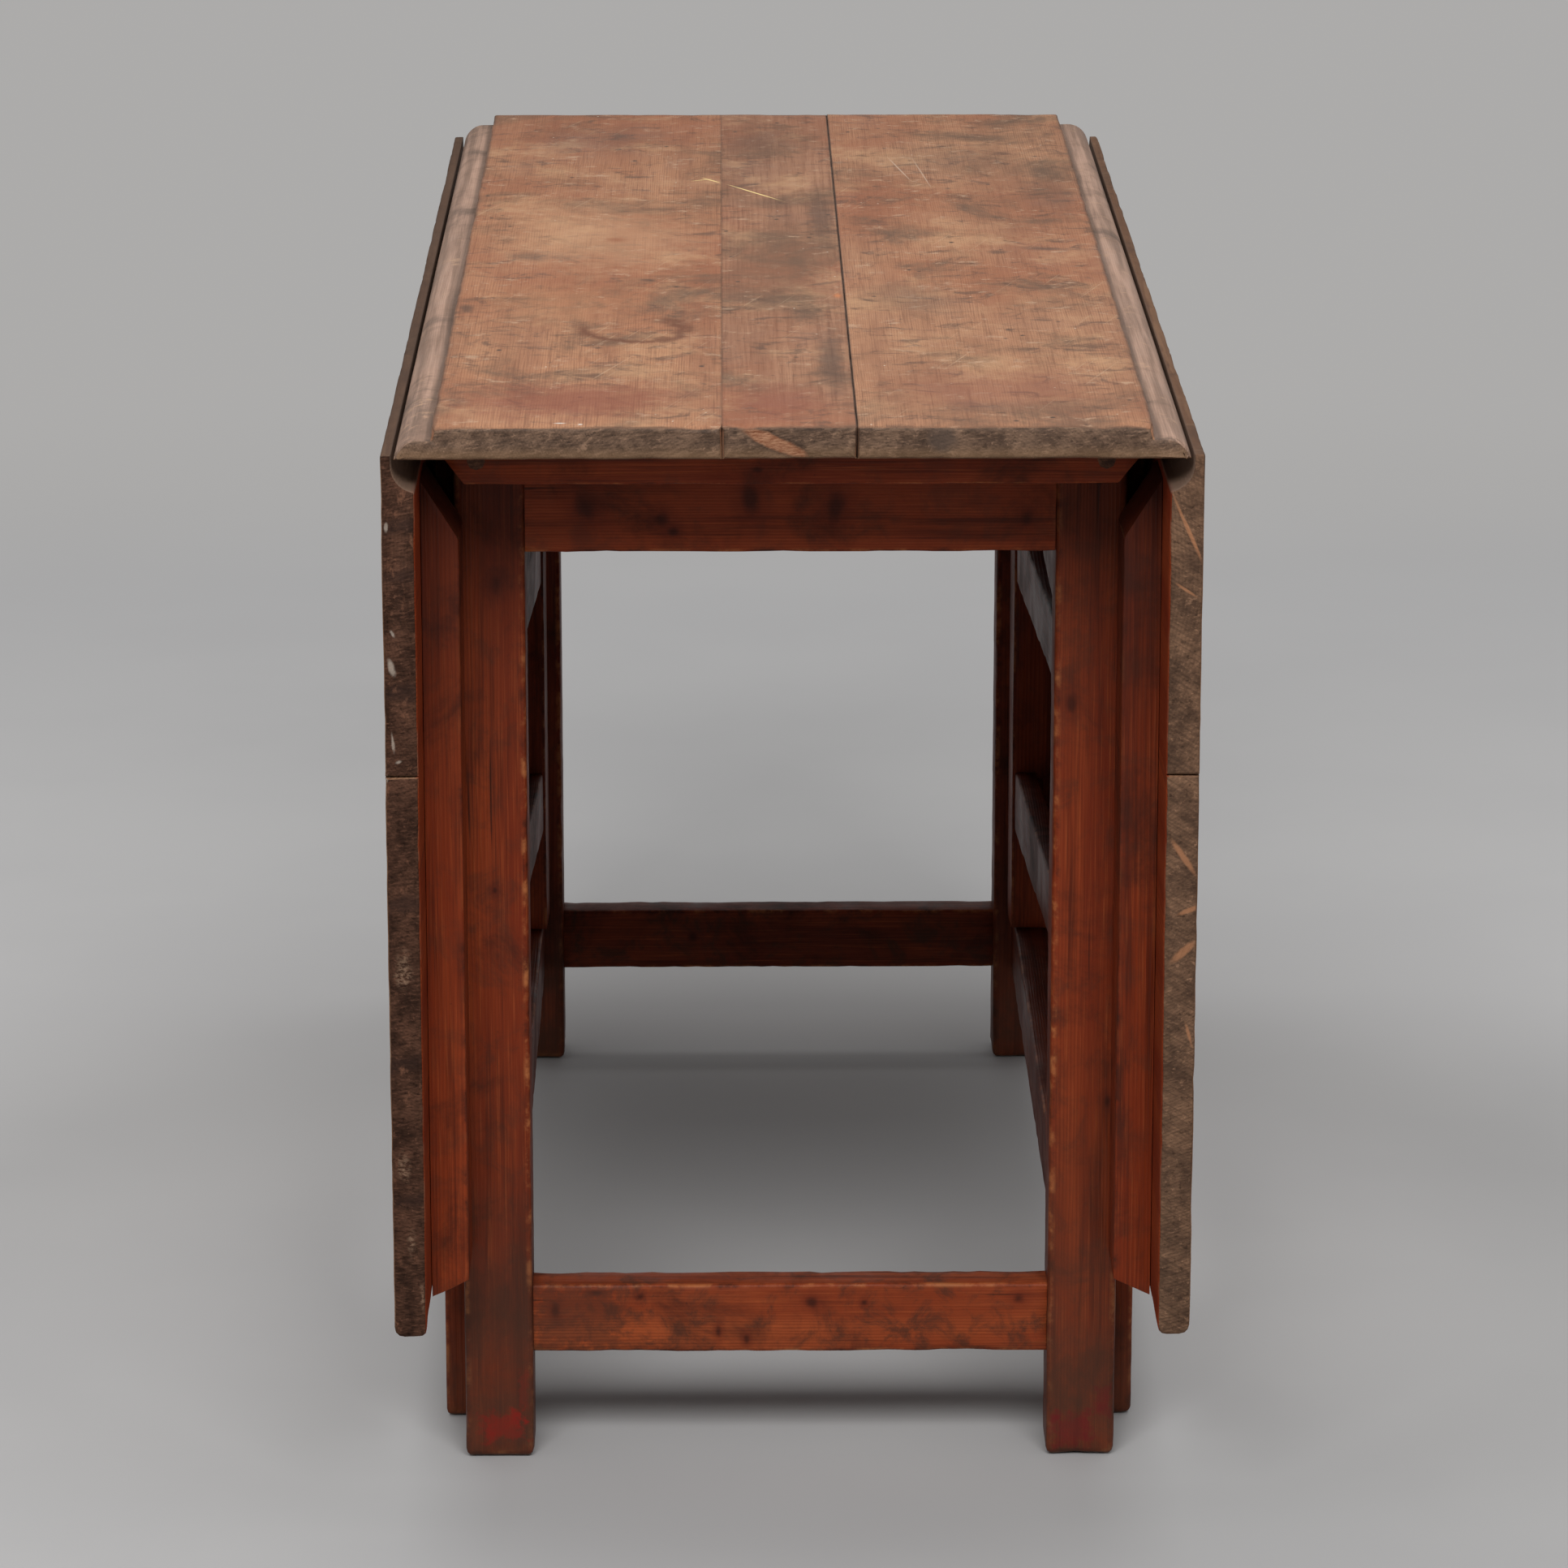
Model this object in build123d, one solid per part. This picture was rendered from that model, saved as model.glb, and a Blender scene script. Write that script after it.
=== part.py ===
from build123d import *
import math
import os

# Country drop-leaf table with two swinging gates, leaves hanging, gates folded.
# Millimetres. +X right, +Y along the table away from the viewer, +Z up.
# Origin: centre of the footprint on the floor. The right half is drawn and mirrored.

# Overall sizes
TABLE_HEIGHT = 750.0
TOP_LENGTH = 1215.0
BOARD_THICKNESS = 22.0
TOP_FLAT_HALF_WIDTH = 230.0
LEAF_BOTTOM_HEIGHT = 137.0

# Fixed top: three boards across the width
LEFT_BOARD_SEAM = -45.0
RIGHT_BOARD_SEAM = 41.0
BOARD_GAP = 0.4
BOARD_END_ROUND = 3.0

# Rule joint between the fixed top and each leaf
FILLET_STEP = 8.0
HINGE_DROP = 3.0
LEDGE_WIDTH = 7.5
RULE_GAP = 0.6
LIP_GAP = 0.5

# Leaf boards
LEAF_SEAM_HEIGHT = 520.0
LEAF_EDGE_ROUND = 6.0

# Frame
LEG_WIDTH = 47.0
FRAME_SETBACK = 8.0
END_OVERHANG = 136.5
LEG_EDGE_ROUND = 2.5
FOOT_CHAMFER = 5.0
TENON_LENGTH = 18.0
TENON_CLEARANCE = 0.2

# End rails
END_APRON_HEIGHT = 93.0
END_APRON_THICKNESS = 24.0
END_APRON_INSET = 4.0
END_STRETCHER_BOTTOM = 74.0
END_STRETCHER_HEIGHT = 49.0
END_STRETCHER_THICKNESS = 28.0
END_STRETCHER_INSET = 6.0
END_TENON_THICKNESS = 10.0
END_TENON_SHOULDER = 9.0

# Side rails
SIDE_RAIL_SETBACK = 4.0
SIDE_APRON_HEIGHT = 148.0
SIDE_APRON_THICKNESS = 40.0
SIDE_STRETCHER_BOTTOM = 76.0
SIDE_STRETCHER_HEIGHT = 52.0
SIDE_STRETCHER_THICKNESS = 28.0
SIDE_TENON_THICKNESS = 12.0
SIDE_TENON_SHOULDER = 10.0
RAIL_EDGE_CHAMFER = 1.5

# Battens dovetailed across the boards
BATTEN_WIDTH = 64.0
TOP_BATTEN_HEIGHT = 32.0
TOP_BATTEN_END_BEVEL = 16.0
TOP_BATTEN_EDGE_SETBACK = 2.0
LEAF_BATTEN_THICKNESS = 25.0
LEAF_BATTEN_UPPER_DROP = 25.0
LEAF_BATTEN_UPPER_BEVEL = 40.0
LEAF_BATTEN_LOWER_SETBACK = 2.0
LEAF_BATTEN_LOWER_BEVEL = 12.0
LEAF_BATTEN_LEG_CLEARANCE = 4.0
DOVETAIL_DEPTH = 7.0
DOVETAIL_SHOULDER = 9.0
DOVETAIL_FLARE = 10.0
DOVETAIL_CLEARANCE = 0.2
PEG_RADIUS = 6.0
PEG_FROM_LEG_FACE = 18.0
PEG_LENGTH_IN_LEG = 25.0
PEG_CLEARANCE = 0.1
PEG_SIDES = 8

# Wrought hinges under the rule joints
HINGE_SPACING = 460.0
HINGE_BARREL_LENGTH = 60.0
KNUCKLE_RADIUS = 4.5
HINGE_PIN_RADIUS = 2.5
HINGE_RUNNING_CLEARANCE = 0.05
HINGE_PLATE_THICKNESS = 2.5
HINGE_NECK_WIDTH = 40.0
TOP_PLATE_REACH = 52.0
TOP_PLATE_END_WIDTH = 56.0
LEAF_PLATE_REACH = 90.0
LEAF_PLATE_END_WIDTH = 56.0
KNUCKLE_GAP = 0.4
PLATE_TO_KNUCKLE_GAP = 0.8
HINGE_POCKET_CLEARANCE = 0.6

# Gates
GATE_PIVOT_FROM_RAIL_FACE = 13.0
GATE_PIVOT_TO_REAR_LEG = 34.0
GATE_POST_THICKNESS = 38.0
GATE_POST_WIDTH = 50.0
GATE_POST_TOP_CLEARANCE = 0.5
GATE_PIN_RADIUS = 9.0
GATE_PIN_LENGTH = 28.0
GATE_PIN_CLEARANCE = 0.05
GATE_PIN_END_GAP = 1.0
GATE_LEG_TO_FRONT_LEG = 31.0
GATE_LEG_WIDTH = 48.0
GATE_LEG_THICKNESS = 42.0
GATE_LEG_OUTER_FACE = 18.0
GATE_LEG_TOP_CLEARANCE = 0.5
GATE_RAIL_THICKNESS = 18.0
GATE_RAIL_POST_INSET = 2.0
GATE_RAIL_LEG_INSET = 1.5
GATE_UPPER_RAIL_BOTTOM = 414.0
GATE_UPPER_RAIL_HEIGHT = 47.0
GATE_LOWER_RAIL_BOTTOM = 210.0
GATE_LOWER_RAIL_HEIGHT = 49.0
GATE_TENON_LENGTH = 16.0
GATE_TENON_THICKNESS = 8.0
GATE_TENON_SHOULDER = 7.0
GATE_LEAF_CLEARANCE = 1.8
LAP_DEPTH_IN_RAIL = 14.0
LAP_SIDE_CLEARANCE = 3.0
LAP_FACE_CLEARANCE = 1.0

# Worked-out places
UNDERSIDE = TABLE_HEIGHT - BOARD_THICKNESS
HALF_LENGTH = TOP_LENGTH / 2
HINGE_X = TOP_FLAT_HALF_WIDTH + LEDGE_WIDTH
HINGE_Z = UNDERSIDE - HINGE_DROP
OVOLO_RADIUS = BOARD_THICKNESS - FILLET_STEP + HINGE_DROP
TOP_TIP_X = HINGE_X + math.sqrt(OVOLO_RADIUS**2 - HINGE_DROP**2)
LEAF_INNER_X = HINGE_X + HINGE_DROP
LEAF_OUTER_X = LEAF_INNER_X + BOARD_THICKNESS
COVE_RADIUS = OVOLO_RADIUS + RULE_GAP
LIP_TOP_Z = HINGE_Z + LEDGE_WIDTH - LIP_GAP
FRAME_HALF_WIDTH = TOP_FLAT_HALF_WIDTH - FRAME_SETBACK
FRAME_HALF_LENGTH = HALF_LENGTH - END_OVERHANG
LEG_INNER_X = FRAME_HALF_WIDTH - LEG_WIDTH
LEG_INNER_Y = FRAME_HALF_LENGTH - LEG_WIDTH
SIDE_RAIL_OUTER_X = FRAME_HALF_WIDTH - SIDE_RAIL_SETBACK
SIDE_APRON_BOTTOM = UNDERSIDE - SIDE_APRON_HEIGHT
SIDE_STRETCHER_TOP = SIDE_STRETCHER_BOTTOM + SIDE_STRETCHER_HEIGHT
GATE_PIVOT_X = SIDE_RAIL_OUTER_X - GATE_PIVOT_FROM_RAIL_FACE
GATE_PIVOT_Y = LEG_INNER_Y - GATE_PIVOT_TO_REAR_LEG
GATE_LEG_REACH = GATE_PIVOT_Y + LEG_INNER_Y - GATE_LEG_TO_FRONT_LEG - GATE_LEG_WIDTH
GATE_SWUNG_OUT = LEAF_INNER_X - GATE_LEAF_CLEARANCE - GATE_PIVOT_X - GATE_LEG_OUTER_FACE
GATE_REST_ANGLE = math.degrees(math.asin(GATE_SWUNG_OUT / (GATE_LEG_REACH + GATE_LEG_WIDTH)))
BATTEN_OUTER_Y = FRAME_HALF_LENGTH + BATTEN_WIDTH
BATTEN_MID_Y = FRAME_HALF_LENGTH + BATTEN_WIDTH / 2

os.makedirs("parts", exist_ok=True)


def block(x0, x1, y0, y1, z0, z1):
    """Axis-aligned block between two corners."""
    return Pos(x0, y0, z0) * Box(x1 - x0, y1 - y0, z1 - z0, align=(Align.MIN,) * 3)


def prism_y(outline, y0, y1):
    """Extrude a closed outline drawn in (x, z) from y0 to y1."""
    plane = Plane(origin=(0, y0, 0), x_dir=(1, 0, 0), z_dir=(0, -1, 0))
    return extrude(plane * make_face(outline), amount=-(y1 - y0))


def polygon_y(points, y0, y1):
    """Extrude a polygon given as (x, z) corners from y0 to y1."""
    return prism_y(Polyline(*points, close=True), y0, y1)


def polygon_z(points, z0, z1):
    """Extrude a polygon given as (x, y) corners from z0 to z1."""
    return extrude(Plane.XY.offset(z0) * make_face(Polyline(*points, close=True)), amount=z1 - z0)


def rod_y(radius, x, z, y0, y1):
    """Round bar along Y."""
    plane = Plane(origin=(x, y0, z), z_dir=(0, 1, 0))
    return extrude(plane * Circle(radius), amount=y1 - y0)


def rod_z(radius, x, y, z0, z1):
    """Round bar along Z."""
    return Pos(x, y, z0) * Cylinder(radius, z1 - z0, align=(Align.CENTER, Align.CENTER, Align.MIN))


def flip_x(shape):
    """The same piece on the left side."""
    return mirror(shape, about=Plane.YZ)


def flip_y(shape):
    """The same piece at the far end."""
    return mirror(shape, about=Plane.XZ)


def soften(shape, axis, radius):
    """Round the edges that run along one axis."""
    return fillet(shape.edges().filter_by(axis), radius)


def ease(shape, axis, size):
    """Plane off the edges that run along one axis."""
    return chamfer(shape.edges().filter_by(axis), size)


def save(node, shape):
    """Write one named piece."""
    export_step(shape, f"parts/{node}.step")


# Fixed top
def top_profile(x_in):
    """Outline of a board whose outer edge carries the ovolo of the rule joint."""
    arc_start = (HINGE_X, HINGE_Z + OVOLO_RADIUS)
    arc_end = (TOP_TIP_X, UNDERSIDE)
    arc = RadiusArc(arc_start, arc_end, OVOLO_RADIUS)
    straight = Polyline(
        arc_end,
        (x_in, UNDERSIDE),
        (x_in, TABLE_HEIGHT),
        (TOP_FLAT_HALF_WIDTH, TABLE_HEIGHT),
        (TOP_FLAT_HALF_WIDTH, arc_start[1]),
        arc_start,
    )
    return [arc, straight]


def dovetail_outline(base_half, depth, grow):
    """Half-widths of a dovetail tongue at its root and tip."""
    flare = depth * math.tan(math.radians(DOVETAIL_FLARE))
    return base_half + grow, base_half + flare + grow


def top_tongue(grow):
    """Dovetail tongue of a top batten, or its groove when grown by a clearance."""
    half = BATTEN_WIDTH / 2 - DOVETAIL_SHOULDER
    root, tip = dovetail_outline(half, DOVETAIL_DEPTH, grow)
    length = TOP_FLAT_HALF_WIDTH - TOP_BATTEN_EDGE_SETBACK - FILLET_STEP + grow
    corners = [
        (BATTEN_MID_Y - root, UNDERSIDE),
        (BATTEN_MID_Y + root, UNDERSIDE),
        (BATTEN_MID_Y + tip, UNDERSIDE + DOVETAIL_DEPTH + grow),
        (BATTEN_MID_Y - tip, UNDERSIDE + DOVETAIL_DEPTH + grow),
    ]
    plane = Plane(origin=(-length, 0, 0), x_dir=(0, 1, 0), z_dir=(1, 0, 0))
    return extrude(plane * make_face(Polyline(*corners, close=True)), amount=2 * length)


def knuckle_pockets():
    """Hollows under the top edge that take the hinge barrels."""
    radius = KNUCKLE_RADIUS + HINGE_POCKET_CLEARANCE
    reach = HINGE_BARREL_LENGTH / 2 + HINGE_POCKET_CLEARANCE
    cuts = []
    for hinge_y in HINGE_PLACES:
        cuts.append(rod_y(radius, HINGE_X, HINGE_Z, hinge_y - reach, hinge_y + reach))
    return cuts


def round_board_ends(board):
    """Ease the upper end edges of a top board."""
    ends = board.edges().filter_by(Axis.X).group_by(Axis.Z)[-1]
    return fillet(ends, BOARD_END_ROUND)


HINGE_PLACES = (-HINGE_SPACING / 2, HINGE_SPACING / 2)


def build_top():
    """Three boards side by side; the outer two carry the moulded edge."""
    grooves = [top_tongue(DOVETAIL_CLEARANCE), flip_y(top_tongue(DOVETAIL_CLEARANCE))]
    pockets = knuckle_pockets()
    right = prism_y(top_profile(RIGHT_BOARD_SEAM + BOARD_GAP / 2), -HALF_LENGTH, HALF_LENGTH)
    right = round_board_ends(right) - grooves - pockets
    left = prism_y(top_profile(-LEFT_BOARD_SEAM + BOARD_GAP / 2), -HALF_LENGTH, HALF_LENGTH)
    left = flip_x(round_board_ends(left) - pockets) - grooves
    centre = block(
        LEFT_BOARD_SEAM + BOARD_GAP / 2,
        RIGHT_BOARD_SEAM - BOARD_GAP / 2,
        -HALF_LENGTH,
        HALF_LENGTH,
        UNDERSIDE,
        TABLE_HEIGHT,
    )
    centre = round_board_ends(centre) - grooves
    save("top_board_left", left)
    save("top_board_centre", centre)
    save("top_board_right", right)


def peg_places():
    """Where the pegs go through the top battens into the legs, right side."""
    return FRAME_HALF_WIDTH - PEG_FROM_LEG_FACE, UNDERSIDE - TOP_BATTEN_HEIGHT / 2


def build_top_battens():
    """Bevel-ended battens across the boards, pegged to the legs' end faces."""
    upper = TOP_FLAT_HALF_WIDTH - TOP_BATTEN_EDGE_SETBACK
    lower = upper - TOP_BATTEN_END_BEVEL
    bottom = UNDERSIDE - TOP_BATTEN_HEIGHT
    outline = [(-upper, UNDERSIDE), (upper, UNDERSIDE), (lower, bottom), (-lower, bottom)]
    batten = polygon_y(outline, FRAME_HALF_LENGTH, BATTEN_OUTER_Y)
    batten = chamfer(batten.edges().filter_by(Axis.X).group_by(Axis.Z)[0], RAIL_EDGE_CHAMFER)
    batten = batten + top_tongue(0)
    x, z = peg_places()
    radius = PEG_RADIUS + PEG_CLEARANCE
    for side in (-x, x):
        batten = batten - rod_y(radius, side, z, FRAME_HALF_LENGTH, BATTEN_OUTER_Y)
    save("top_batten_rear", batten)
    save("top_batten_front", flip_y(batten))


def build_pegs():
    """Wooden pegs that hold the top battens to the legs."""
    x, z = peg_places()
    start = FRAME_HALF_LENGTH - PEG_LENGTH_IN_LEG
    plane = Plane(origin=(x, start, z), z_dir=(0, 1, 0))
    peg = extrude(plane * RegularPolygon(PEG_RADIUS, PEG_SIDES), amount=BATTEN_OUTER_Y - start)
    pegs = [peg, flip_x(peg), flip_y(peg), flip_x(flip_y(peg))]
    save("batten_pegs", Compound(children=pegs))


# Frame rails and legs
def end_apron(grow=0.0):
    """Rear end apron with its tenons, or its mortise cutter when grown."""
    y1 = FRAME_HALF_LENGTH - END_APRON_INSET
    return end_rail(UNDERSIDE - END_APRON_HEIGHT, UNDERSIDE, y1 - END_APRON_THICKNESS, y1, grow)


def end_stretcher(grow=0.0):
    """Rear end stretcher with its tenons, or its mortise cutter when grown."""
    y1 = FRAME_HALF_LENGTH - END_STRETCHER_INSET
    top = END_STRETCHER_BOTTOM + END_STRETCHER_HEIGHT
    return end_rail(END_STRETCHER_BOTTOM, top, y1 - END_STRETCHER_THICKNESS, y1, grow)


def end_rail(z0, z1, y0, y1, grow):
    """A rail between the two legs of one end."""
    middle = (y0 + y1) / 2
    tenon = block(
        -LEG_INNER_X - TENON_LENGTH - grow,
        LEG_INNER_X + TENON_LENGTH + grow,
        middle - END_TENON_THICKNESS / 2 - grow,
        middle + END_TENON_THICKNESS / 2 + grow,
        z0 + END_TENON_SHOULDER - grow,
        z1 - END_TENON_SHOULDER + grow,
    )
    if grow:
        return tenon
    rail = block(-LEG_INNER_X, LEG_INNER_X, y0, y1, z0, z1)
    return ease(rail, Axis.X, RAIL_EDGE_CHAMFER) + tenon


def side_apron(grow=0.0):
    """Right side apron with its tenons, or its mortise cutter when grown."""
    return side_rail(SIDE_APRON_BOTTOM, UNDERSIDE, SIDE_APRON_THICKNESS, grow)


def side_stretcher(grow=0.0):
    """Right side stretcher with its tenons, or its mortise cutter when grown."""
    return side_rail(SIDE_STRETCHER_BOTTOM, SIDE_STRETCHER_TOP, SIDE_STRETCHER_THICKNESS, grow)


def side_rail(z0, z1, thickness, grow):
    """A long rail between the front and rear legs of the right side."""
    x1 = SIDE_RAIL_OUTER_X
    x0 = x1 - thickness
    middle = (x0 + x1) / 2
    tenon = block(
        middle - SIDE_TENON_THICKNESS / 2 - grow,
        middle + SIDE_TENON_THICKNESS / 2 + grow,
        -LEG_INNER_Y - TENON_LENGTH - grow,
        LEG_INNER_Y + TENON_LENGTH + grow,
        z0 + SIDE_TENON_SHOULDER - grow,
        z1 - SIDE_TENON_SHOULDER + grow,
    )
    if grow:
        return tenon
    rail = block(x0, x1, -LEG_INNER_Y, LEG_INNER_Y, z0, z1)
    return ease(rail, Axis.Y, RAIL_EDGE_CHAMFER) + tenon


def lap_notch(z0, z1):
    """Half lap in the outer face of a side rail that takes the closed gate leg."""
    far = GATE_PIVOT_Y - GATE_LEG_REACH + LAP_SIDE_CLEARANCE
    near = far - GATE_LEG_WIDTH - 2 * LAP_SIDE_CLEARANCE
    x0 = SIDE_RAIL_OUTER_X - LAP_DEPTH_IN_RAIL
    return block(x0, SIDE_RAIL_OUTER_X + 1, near, far, z0 - 1, z1 + 1)


def hinge_notches():
    """Shallow rebates in the apron's top edge over the hinge plates."""
    half = TOP_PLATE_END_WIDTH / 2 + HINGE_POCKET_CLEARANCE
    depth = HINGE_PLATE_THICKNESS + HINGE_POCKET_CLEARANCE
    x0 = HINGE_X - PLATE_START - TOP_PLATE_REACH - HINGE_POCKET_CLEARANCE
    cuts = []
    for y in HINGE_PLACES:
        cuts.append(block(x0, SIDE_RAIL_OUTER_X + 1, y - half, y + half, UNDERSIDE - depth, UNDERSIDE + 1))
    return cuts


PLATE_START = KNUCKLE_RADIUS + PLATE_TO_KNUCKLE_GAP


def gate_pin_hole(z0, z1):
    """Round hole that a gate's pivot pin turns in."""
    return rod_z(GATE_PIN_RADIUS + GATE_PIN_CLEARANCE, GATE_PIVOT_X, GATE_PIVOT_Y, z0, z1)


def build_rails():
    """Aprons and stretchers of the fixed frame."""
    pin_depth = GATE_PIN_LENGTH + GATE_PIN_END_GAP
    save("end_apron_rear", end_apron())
    save("end_apron_front", flip_y(end_apron()))
    save("end_stretcher_rear", end_stretcher())
    save("end_stretcher_front", flip_y(end_stretcher()))

    apron = side_apron() - lap_notch(SIDE_APRON_BOTTOM, UNDERSIDE) - hinge_notches()
    apron = apron - gate_pin_hole(SIDE_APRON_BOTTOM, SIDE_APRON_BOTTOM + pin_depth)
    save("side_apron_right", apron)
    save("side_apron_left", flip_x(apron))

    stretcher = side_stretcher() - lap_notch(SIDE_STRETCHER_BOTTOM, SIDE_STRETCHER_TOP)
    stretcher = stretcher - gate_pin_hole(SIDE_STRETCHER_TOP - pin_depth, SIDE_STRETCHER_TOP)
    save("side_stretcher_right", stretcher)
    save("side_stretcher_left", flip_x(stretcher))


def build_legs():
    """Four square legs, mortised for the rails and bored for the batten pegs."""
    leg = block(LEG_INNER_X, FRAME_HALF_WIDTH, LEG_INNER_Y, FRAME_HALF_LENGTH, 0, UNDERSIDE)
    leg = chamfer(leg.edges().group_by(Axis.Z)[0], FOOT_CHAMFER)
    leg = soften(leg, Axis.Z, LEG_EDGE_ROUND)
    for mortise in (end_apron, end_stretcher, side_apron, side_stretcher):
        leg = leg - mortise(TENON_CLEARANCE)
    x, z = peg_places()
    hole_start = FRAME_HALF_LENGTH - PEG_LENGTH_IN_LEG - PEG_CLEARANCE
    leg = leg - rod_y(PEG_RADIUS + PEG_CLEARANCE, x, z, hole_start, FRAME_HALF_LENGTH)
    save("leg_rear_right", leg)
    save("leg_rear_left", flip_x(leg))
    save("leg_front_right", flip_y(leg))
    save("leg_front_left", flip_x(flip_y(leg)))


# Leaves
def leaf_tongue(grow):
    """Dovetail tongue of a leaf batten, or its groove when grown by a clearance."""
    half = BATTEN_WIDTH / 2 - DOVETAIL_SHOULDER - LEAF_BATTEN_LEG_CLEARANCE / 2
    middle = BATTEN_MID_Y + LEAF_BATTEN_LEG_CLEARANCE / 2
    root, tip = dovetail_outline(half, DOVETAIL_DEPTH, grow)
    deep = LEAF_INNER_X + DOVETAIL_DEPTH + grow
    corners = [
        (LEAF_INNER_X, middle - root),
        (LEAF_INNER_X, middle + root),
        (deep, middle + tip),
        (deep, middle - tip),
    ]
    bottom = LEAF_BOTTOM_HEIGHT + LEAF_BATTEN_LOWER_SETBACK
    if grow:
        bottom = LEAF_BOTTOM_HEIGHT - grow
    return polygon_z(corners, bottom, HINGE_Z - LEAF_BATTEN_UPPER_DROP + grow)


def build_leaf_boards():
    """Each leaf is two boards; the upper one carries the cove of the rule joint."""
    cove_low = HINGE_Z - math.sqrt(COVE_RADIUS**2 - HINGE_DROP**2)
    arc_start = (HINGE_X + COVE_RADIUS, HINGE_Z)
    arc_end = (LEAF_INNER_X, cove_low)
    seam_low = LEAF_SEAM_HEIGHT + BOARD_GAP / 2
    outline = [
        RadiusArc(arc_start, arc_end, COVE_RADIUS),
        Polyline(
            arc_end,
            (LEAF_INNER_X, seam_low),
            (LEAF_OUTER_X, seam_low),
            (LEAF_OUTER_X, LIP_TOP_Z),
            (arc_start[0], LIP_TOP_Z),
            arc_start,
        ),
    ]
    grooves = [leaf_tongue(DOVETAIL_CLEARANCE), flip_y(leaf_tongue(DOVETAIL_CLEARANCE))]
    upper = prism_y(outline, -HALF_LENGTH, HALF_LENGTH) - grooves
    lower = block(
        LEAF_INNER_X,
        LEAF_OUTER_X,
        -HALF_LENGTH,
        HALF_LENGTH,
        LEAF_BOTTOM_HEIGHT,
        LEAF_SEAM_HEIGHT - BOARD_GAP / 2,
    )
    lower = fillet(lower.edges().filter_by(Axis.Y).group_by(Axis.Z)[0], LEAF_EDGE_ROUND) - grooves
    save("leaf_right_upper_board", upper)
    save("leaf_left_upper_board", flip_x(upper))
    save("leaf_right_lower_board", lower)
    save("leaf_left_lower_board", flip_x(lower))


def build_leaf_battens():
    """Two bevel-ended battens dovetailed across each leaf, clear of the legs."""
    inner = LEAF_INNER_X - LEAF_BATTEN_THICKNESS
    top = HINGE_Z - LEAF_BATTEN_UPPER_DROP
    bottom = LEAF_BOTTOM_HEIGHT + LEAF_BATTEN_LOWER_SETBACK
    outline = [
        (LEAF_INNER_X, bottom),
        (LEAF_INNER_X, top),
        (inner, top - LEAF_BATTEN_UPPER_BEVEL),
        (inner, bottom + LEAF_BATTEN_LOWER_BEVEL),
    ]
    batten = polygon_y(outline, FRAME_HALF_LENGTH + LEAF_BATTEN_LEG_CLEARANCE, BATTEN_OUTER_Y)
    batten = chamfer(batten.edges().filter_by(Axis.Z).group_by(Axis.X)[0], RAIL_EDGE_CHAMFER)
    batten = batten + leaf_tongue(0)
    save("leaf_right_batten_rear", batten)
    save("leaf_left_batten_rear", flip_x(batten))
    save("leaf_right_batten_front", flip_y(batten))
    save("leaf_left_batten_front", flip_x(flip_y(batten)))


# Hinges
def knuckle_spans(hinge_y):
    """Three barrel lengths along one hinge: outer, middle, outer."""
    third = HINGE_BARREL_LENGTH / 3
    start = hinge_y - HINGE_BARREL_LENGTH / 2
    spans = []
    for index in range(3):
        low = start + index * third + KNUCKLE_GAP / 2
        spans.append((low, low + third - KNUCKLE_GAP))
    return spans


def plate_outline(hinge_y, near, far, end_width):
    """Flared plate: narrow at the barrel, wider at its free end, as (reach, y) corners."""
    neck = HINGE_NECK_WIDTH / 2
    end = end_width / 2
    return [(near, hinge_y - neck), (far, hinge_y - end), (far, hinge_y + end), (near, hinge_y + neck)]


def top_hinge_plate(hinge_y):
    """Plate under the top with the two outer knuckles."""
    spans = knuckle_spans(hinge_y)
    z0 = UNDERSIDE - HINGE_PLATE_THICKNESS
    outline = plate_outline(hinge_y, PLATE_START, PLATE_START + TOP_PLATE_REACH, TOP_PLATE_END_WIDTH)
    corners = [(HINGE_X - reach, y) for reach, y in outline]
    plate = polygon_z(corners, z0, UNDERSIDE)
    for low, high in (spans[0], spans[2]):
        plate = plate + rod_y(KNUCKLE_RADIUS, HINGE_X, HINGE_Z, low, high)
        plate = plate + block(HINGE_X - PLATE_START - 1, HINGE_X, low, high, z0, UNDERSIDE)
    bore = rod_y(
        HINGE_PIN_RADIUS + HINGE_RUNNING_CLEARANCE,
        HINGE_X,
        HINGE_Z,
        hinge_y - HINGE_BARREL_LENGTH / 2,
        hinge_y + HINGE_BARREL_LENGTH / 2,
    )
    return plate - bore


def leaf_hinge_plate(hinge_y):
    """Plate on the leaf's inner face with the middle knuckle."""
    low, high = knuckle_spans(hinge_y)[1]
    x0 = LEAF_INNER_X - HINGE_PLATE_THICKNESS
    outline = plate_outline(hinge_y, PLATE_START, PLATE_START + LEAF_PLATE_REACH, LEAF_PLATE_END_WIDTH)
    plane = Plane(origin=(x0, 0, 0), x_dir=(0, 1, 0), z_dir=(1, 0, 0))
    corners = [(y, HINGE_Z - reach) for reach, y in outline]
    plate = extrude(plane * make_face(Polyline(*corners, close=True)), amount=HINGE_PLATE_THICKNESS)
    plate = plate + rod_y(KNUCKLE_RADIUS, HINGE_X, HINGE_Z, low, high)
    plate = plate + block(x0, LEAF_INNER_X, low, high, HINGE_Z - PLATE_START - 1, HINGE_Z)
    return plate - rod_y(HINGE_PIN_RADIUS + HINGE_RUNNING_CLEARANCE, HINGE_X, HINGE_Z, low, high)


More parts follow.
